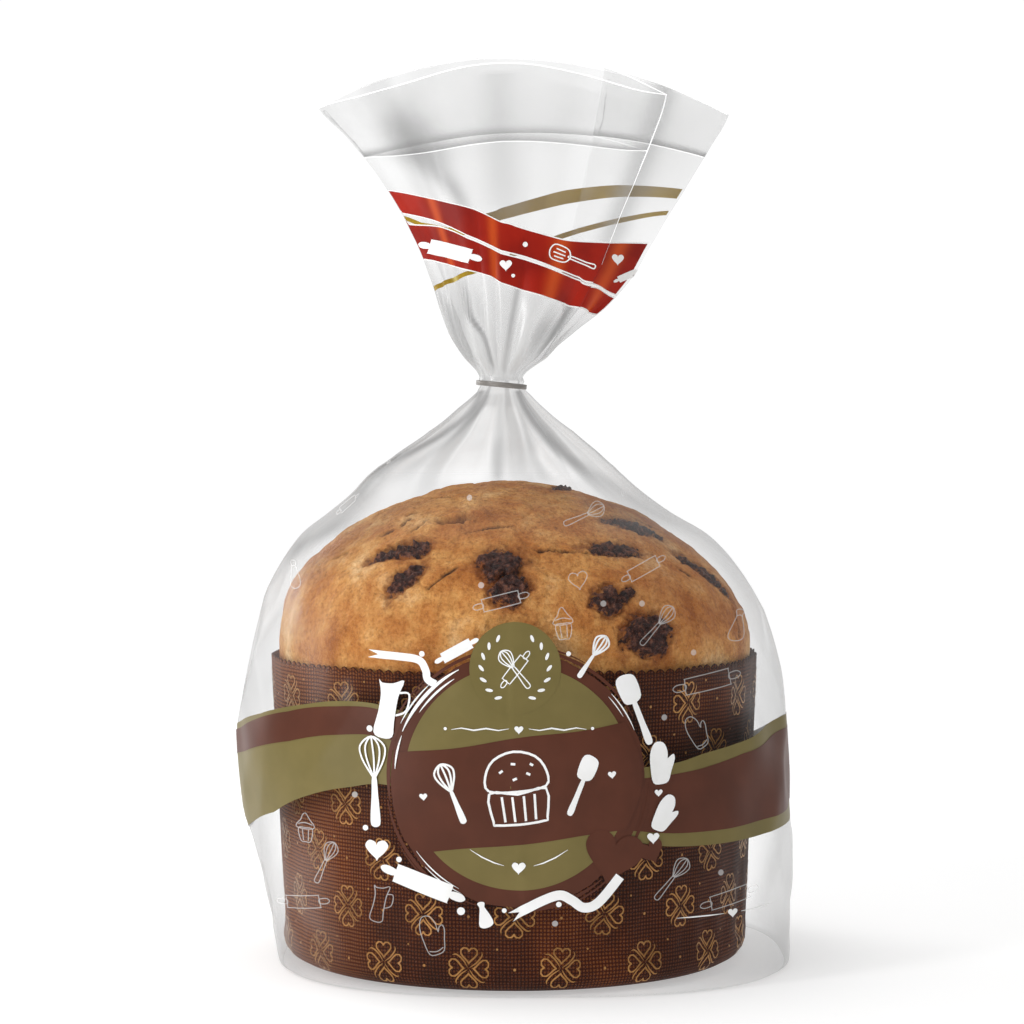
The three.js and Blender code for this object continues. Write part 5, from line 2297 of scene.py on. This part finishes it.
@dataclass
class Studio:
    """A white studio: a pale floor, large soft lights and the camera in front."""

    floor_z: float
    camera_at: tuple[float, float, float] = (-0.67, -760.0, 145.0)
    camera_drop: float = 2.01
    lens: float = 99.7
    floor_reach: float = 6.0
    glow_near: Pair = (0.15, 0.38)
    glow_far: Pair = (1.2, 0.68)
    backdrop: float = 1.02
    ambient: float = 0.38

    def build(self) -> None:
        """Builds the floor, the lights, the surroundings and the camera."""
        self._floor()
        self._surroundings()
        for name, place, target, size, watts in (
            ("tall_left", (-520, -420, 260), (0, 0, 90), (120, 600), 2.12),
            ("broad_right", (620, -300, 330), (0, 0, 90), (420, 520), 0.15),
            ("top", (-60, 60, 760), (0, 0, 60), (520, 520), 1.8),
            ("back_left", (-480, 430, 300), (0, 0, 110), (260, 420), 1.2),
        ):
            self._light(name, Vector(place), Vector(target), size, watts)
        self._camera()
        bpy.context.scene.view_settings.view_transform = "Standard"
        bpy.context.scene.cycles.transparent_max_bounces = 24

    def _floor(self) -> None:
        """A wide, plain, pale floor, a little darker under the object."""
        bm = bmesh.new()
        bmesh.ops.create_grid(bm, x_segments=1, y_segments=1, size=self.floor_reach)
        bmesh.ops.translate(bm, verts=bm.verts, vec=(0, 0, self.floor_z))
        mesh = bpy.data.meshes.new("floor")
        bm.to_mesh(mesh)
        bm.free()
        floor = bpy.data.objects.new("floor", mesh)
        bpy.context.scene.collection.objects.link(floor)
        material, tree, surface = new_material("matt_white_floor")
        place = add_node(tree, "TexCoord", out="Object")
        away = add_node(tree, "VectorMath", {"operation": "LENGTH"}, {0: place}, out="Value")
        glow = add_node(tree, "MapRange", {"interpolation_type": "SMOOTHSTEP"}, {
            "Value": away, "From Min": self.glow_near[0], "From Max": self.glow_far[0],
            "To Min": self.glow_near[1], "To Max": self.glow_far[1],
        })
        paint = add_node(tree, "BsdfPrincipled", inputs={
            "Base Color": "f2f2f2", "Roughness": 0.9, "Specular IOR Level": 0.1,
            "Emission Color": "ffffff", "Emission Strength": glow,
        })
        tree.links.new(paint, surface)
        mesh.materials.append(material)
        floor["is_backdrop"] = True

    def _surroundings(self) -> None:
        """White behind the object, and a softer grey all round that lights and reflects."""
        world = bpy.data.worlds.new("studio")
        world.use_nodes = True
        tree = world.node_tree
        tree.nodes.clear()
        seen = add_node(tree, "LightPath", out="Is Camera Ray")
        white = add_node(tree, "Background", inputs={"Color": "ffffff", "Strength": self.backdrop})
        grey = add_node(tree, "Background", inputs={"Color": "ffffff", "Strength": self.ambient})
        both = add_node(tree, "MixShader", inputs={0: seen, 1: grey, 2: white})
        output = tree.nodes.new("ShaderNodeOutputWorld")
        tree.links.new(both, output.inputs["Surface"])
        bpy.context.scene.world = world

    def _light(self, name: str, place: Vector, target: Vector, size: Pair, watts: float) -> None:
        """Adds one soft box.

        Args:
            name: its name.
            place, target: where it stands and where it points, in millimetres.
            size: its width and height, in millimetres.
            watts: its power.
        """
        lamp = bpy.data.lights.new(name, "AREA")
        lamp.shape = "RECTANGLE"
        lamp.size, lamp.size_y = size[0] * MM, size[1] * MM
        lamp.energy = watts
        box = bpy.data.objects.new(name, lamp)
        box.location = place * MM
        box.rotation_euler = (target - place).to_track_quat("-Z", "Y").to_euler()
        bpy.context.scene.collection.objects.link(box)

    def _camera(self) -> None:
        """Adds the camera."""
        eye = bpy.data.cameras.new("camera")
        eye.lens = self.lens
        eye.sensor_width = 36.0
        camera = bpy.data.objects.new("camera", eye)
        camera.location = Vector(self.camera_at) * MM
        camera.rotation_euler = (math.radians(90 - self.camera_drop), 0, 0)
        bpy.context.scene.collection.objects.link(camera)
        bpy.context.scene.camera = camera


def main() -> None:
    """Builds the whole scene, and notes the plain model's box."""
    logging.basicConfig(level=logging.INFO, format="%(name)s: %(message)s")
    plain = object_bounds()
    log.info("plain model: %s", plain)
    floor_z = min(plain[0][2], 0.0)
    Studio(floor_z).build()
    loaf = Loaf(CrustFinish().build())
    loaf.build()
    gold = InkFinish("gold_gravure_ink", "bd874a", "926430", roughness=0.3).build()
    Mould(MouldPaperFinish().build(), gold).build()
    shape = FilmShape(loaf=loaf)
    Bag(
        shape,
        film=FilmFinish(milk="9a9a99", glow=0.34).build(),
        hem_film=FilmFinish(name="gathered_polypropylene_film", milk="a4a4a3", glow=0.22, edge=0.3).build(),
        # Painted highlights: the white glowing film of the strips along the hem edge, the rim and the front
        # fold.
        edge_highlight_film=FilmFinish(name="painted_highlight_film", milk="ffffff", glow=0.5).build(),
    ).build()
    white = InkFinish("white_gravure_ink", "ffffff", "f6f6f4").build()
    BodyPrint(
        shape,
        olive=InkFinish("olive_gravure_ink", "7a6d40", "74683c").build(),
        brown=InkFinish("brown_gravure_ink", "5c3223", "552e20").build(),
        white=white,
        faint=InkFinish("thin_white_gravure_ink", "ffffff", "f6f6f4", cover=0.38).build(),
    ).build()
    FanPrint(
        shape,
        # The glint colours are painted highlights on the red and gold ribbons.
        red=InkFinish("red_gravure_ink", "a8200c", "861306", glint="d2551f", mottle_mm=14).build(),
        gold=InkFinish("old_gold_gravure_ink", "a5861a", "8e7212", glint="cfc07a").build(),
        white=white,
    ).build()
    Tie(TieFinish().build()).build()


if __name__ == "__main__":
    main()
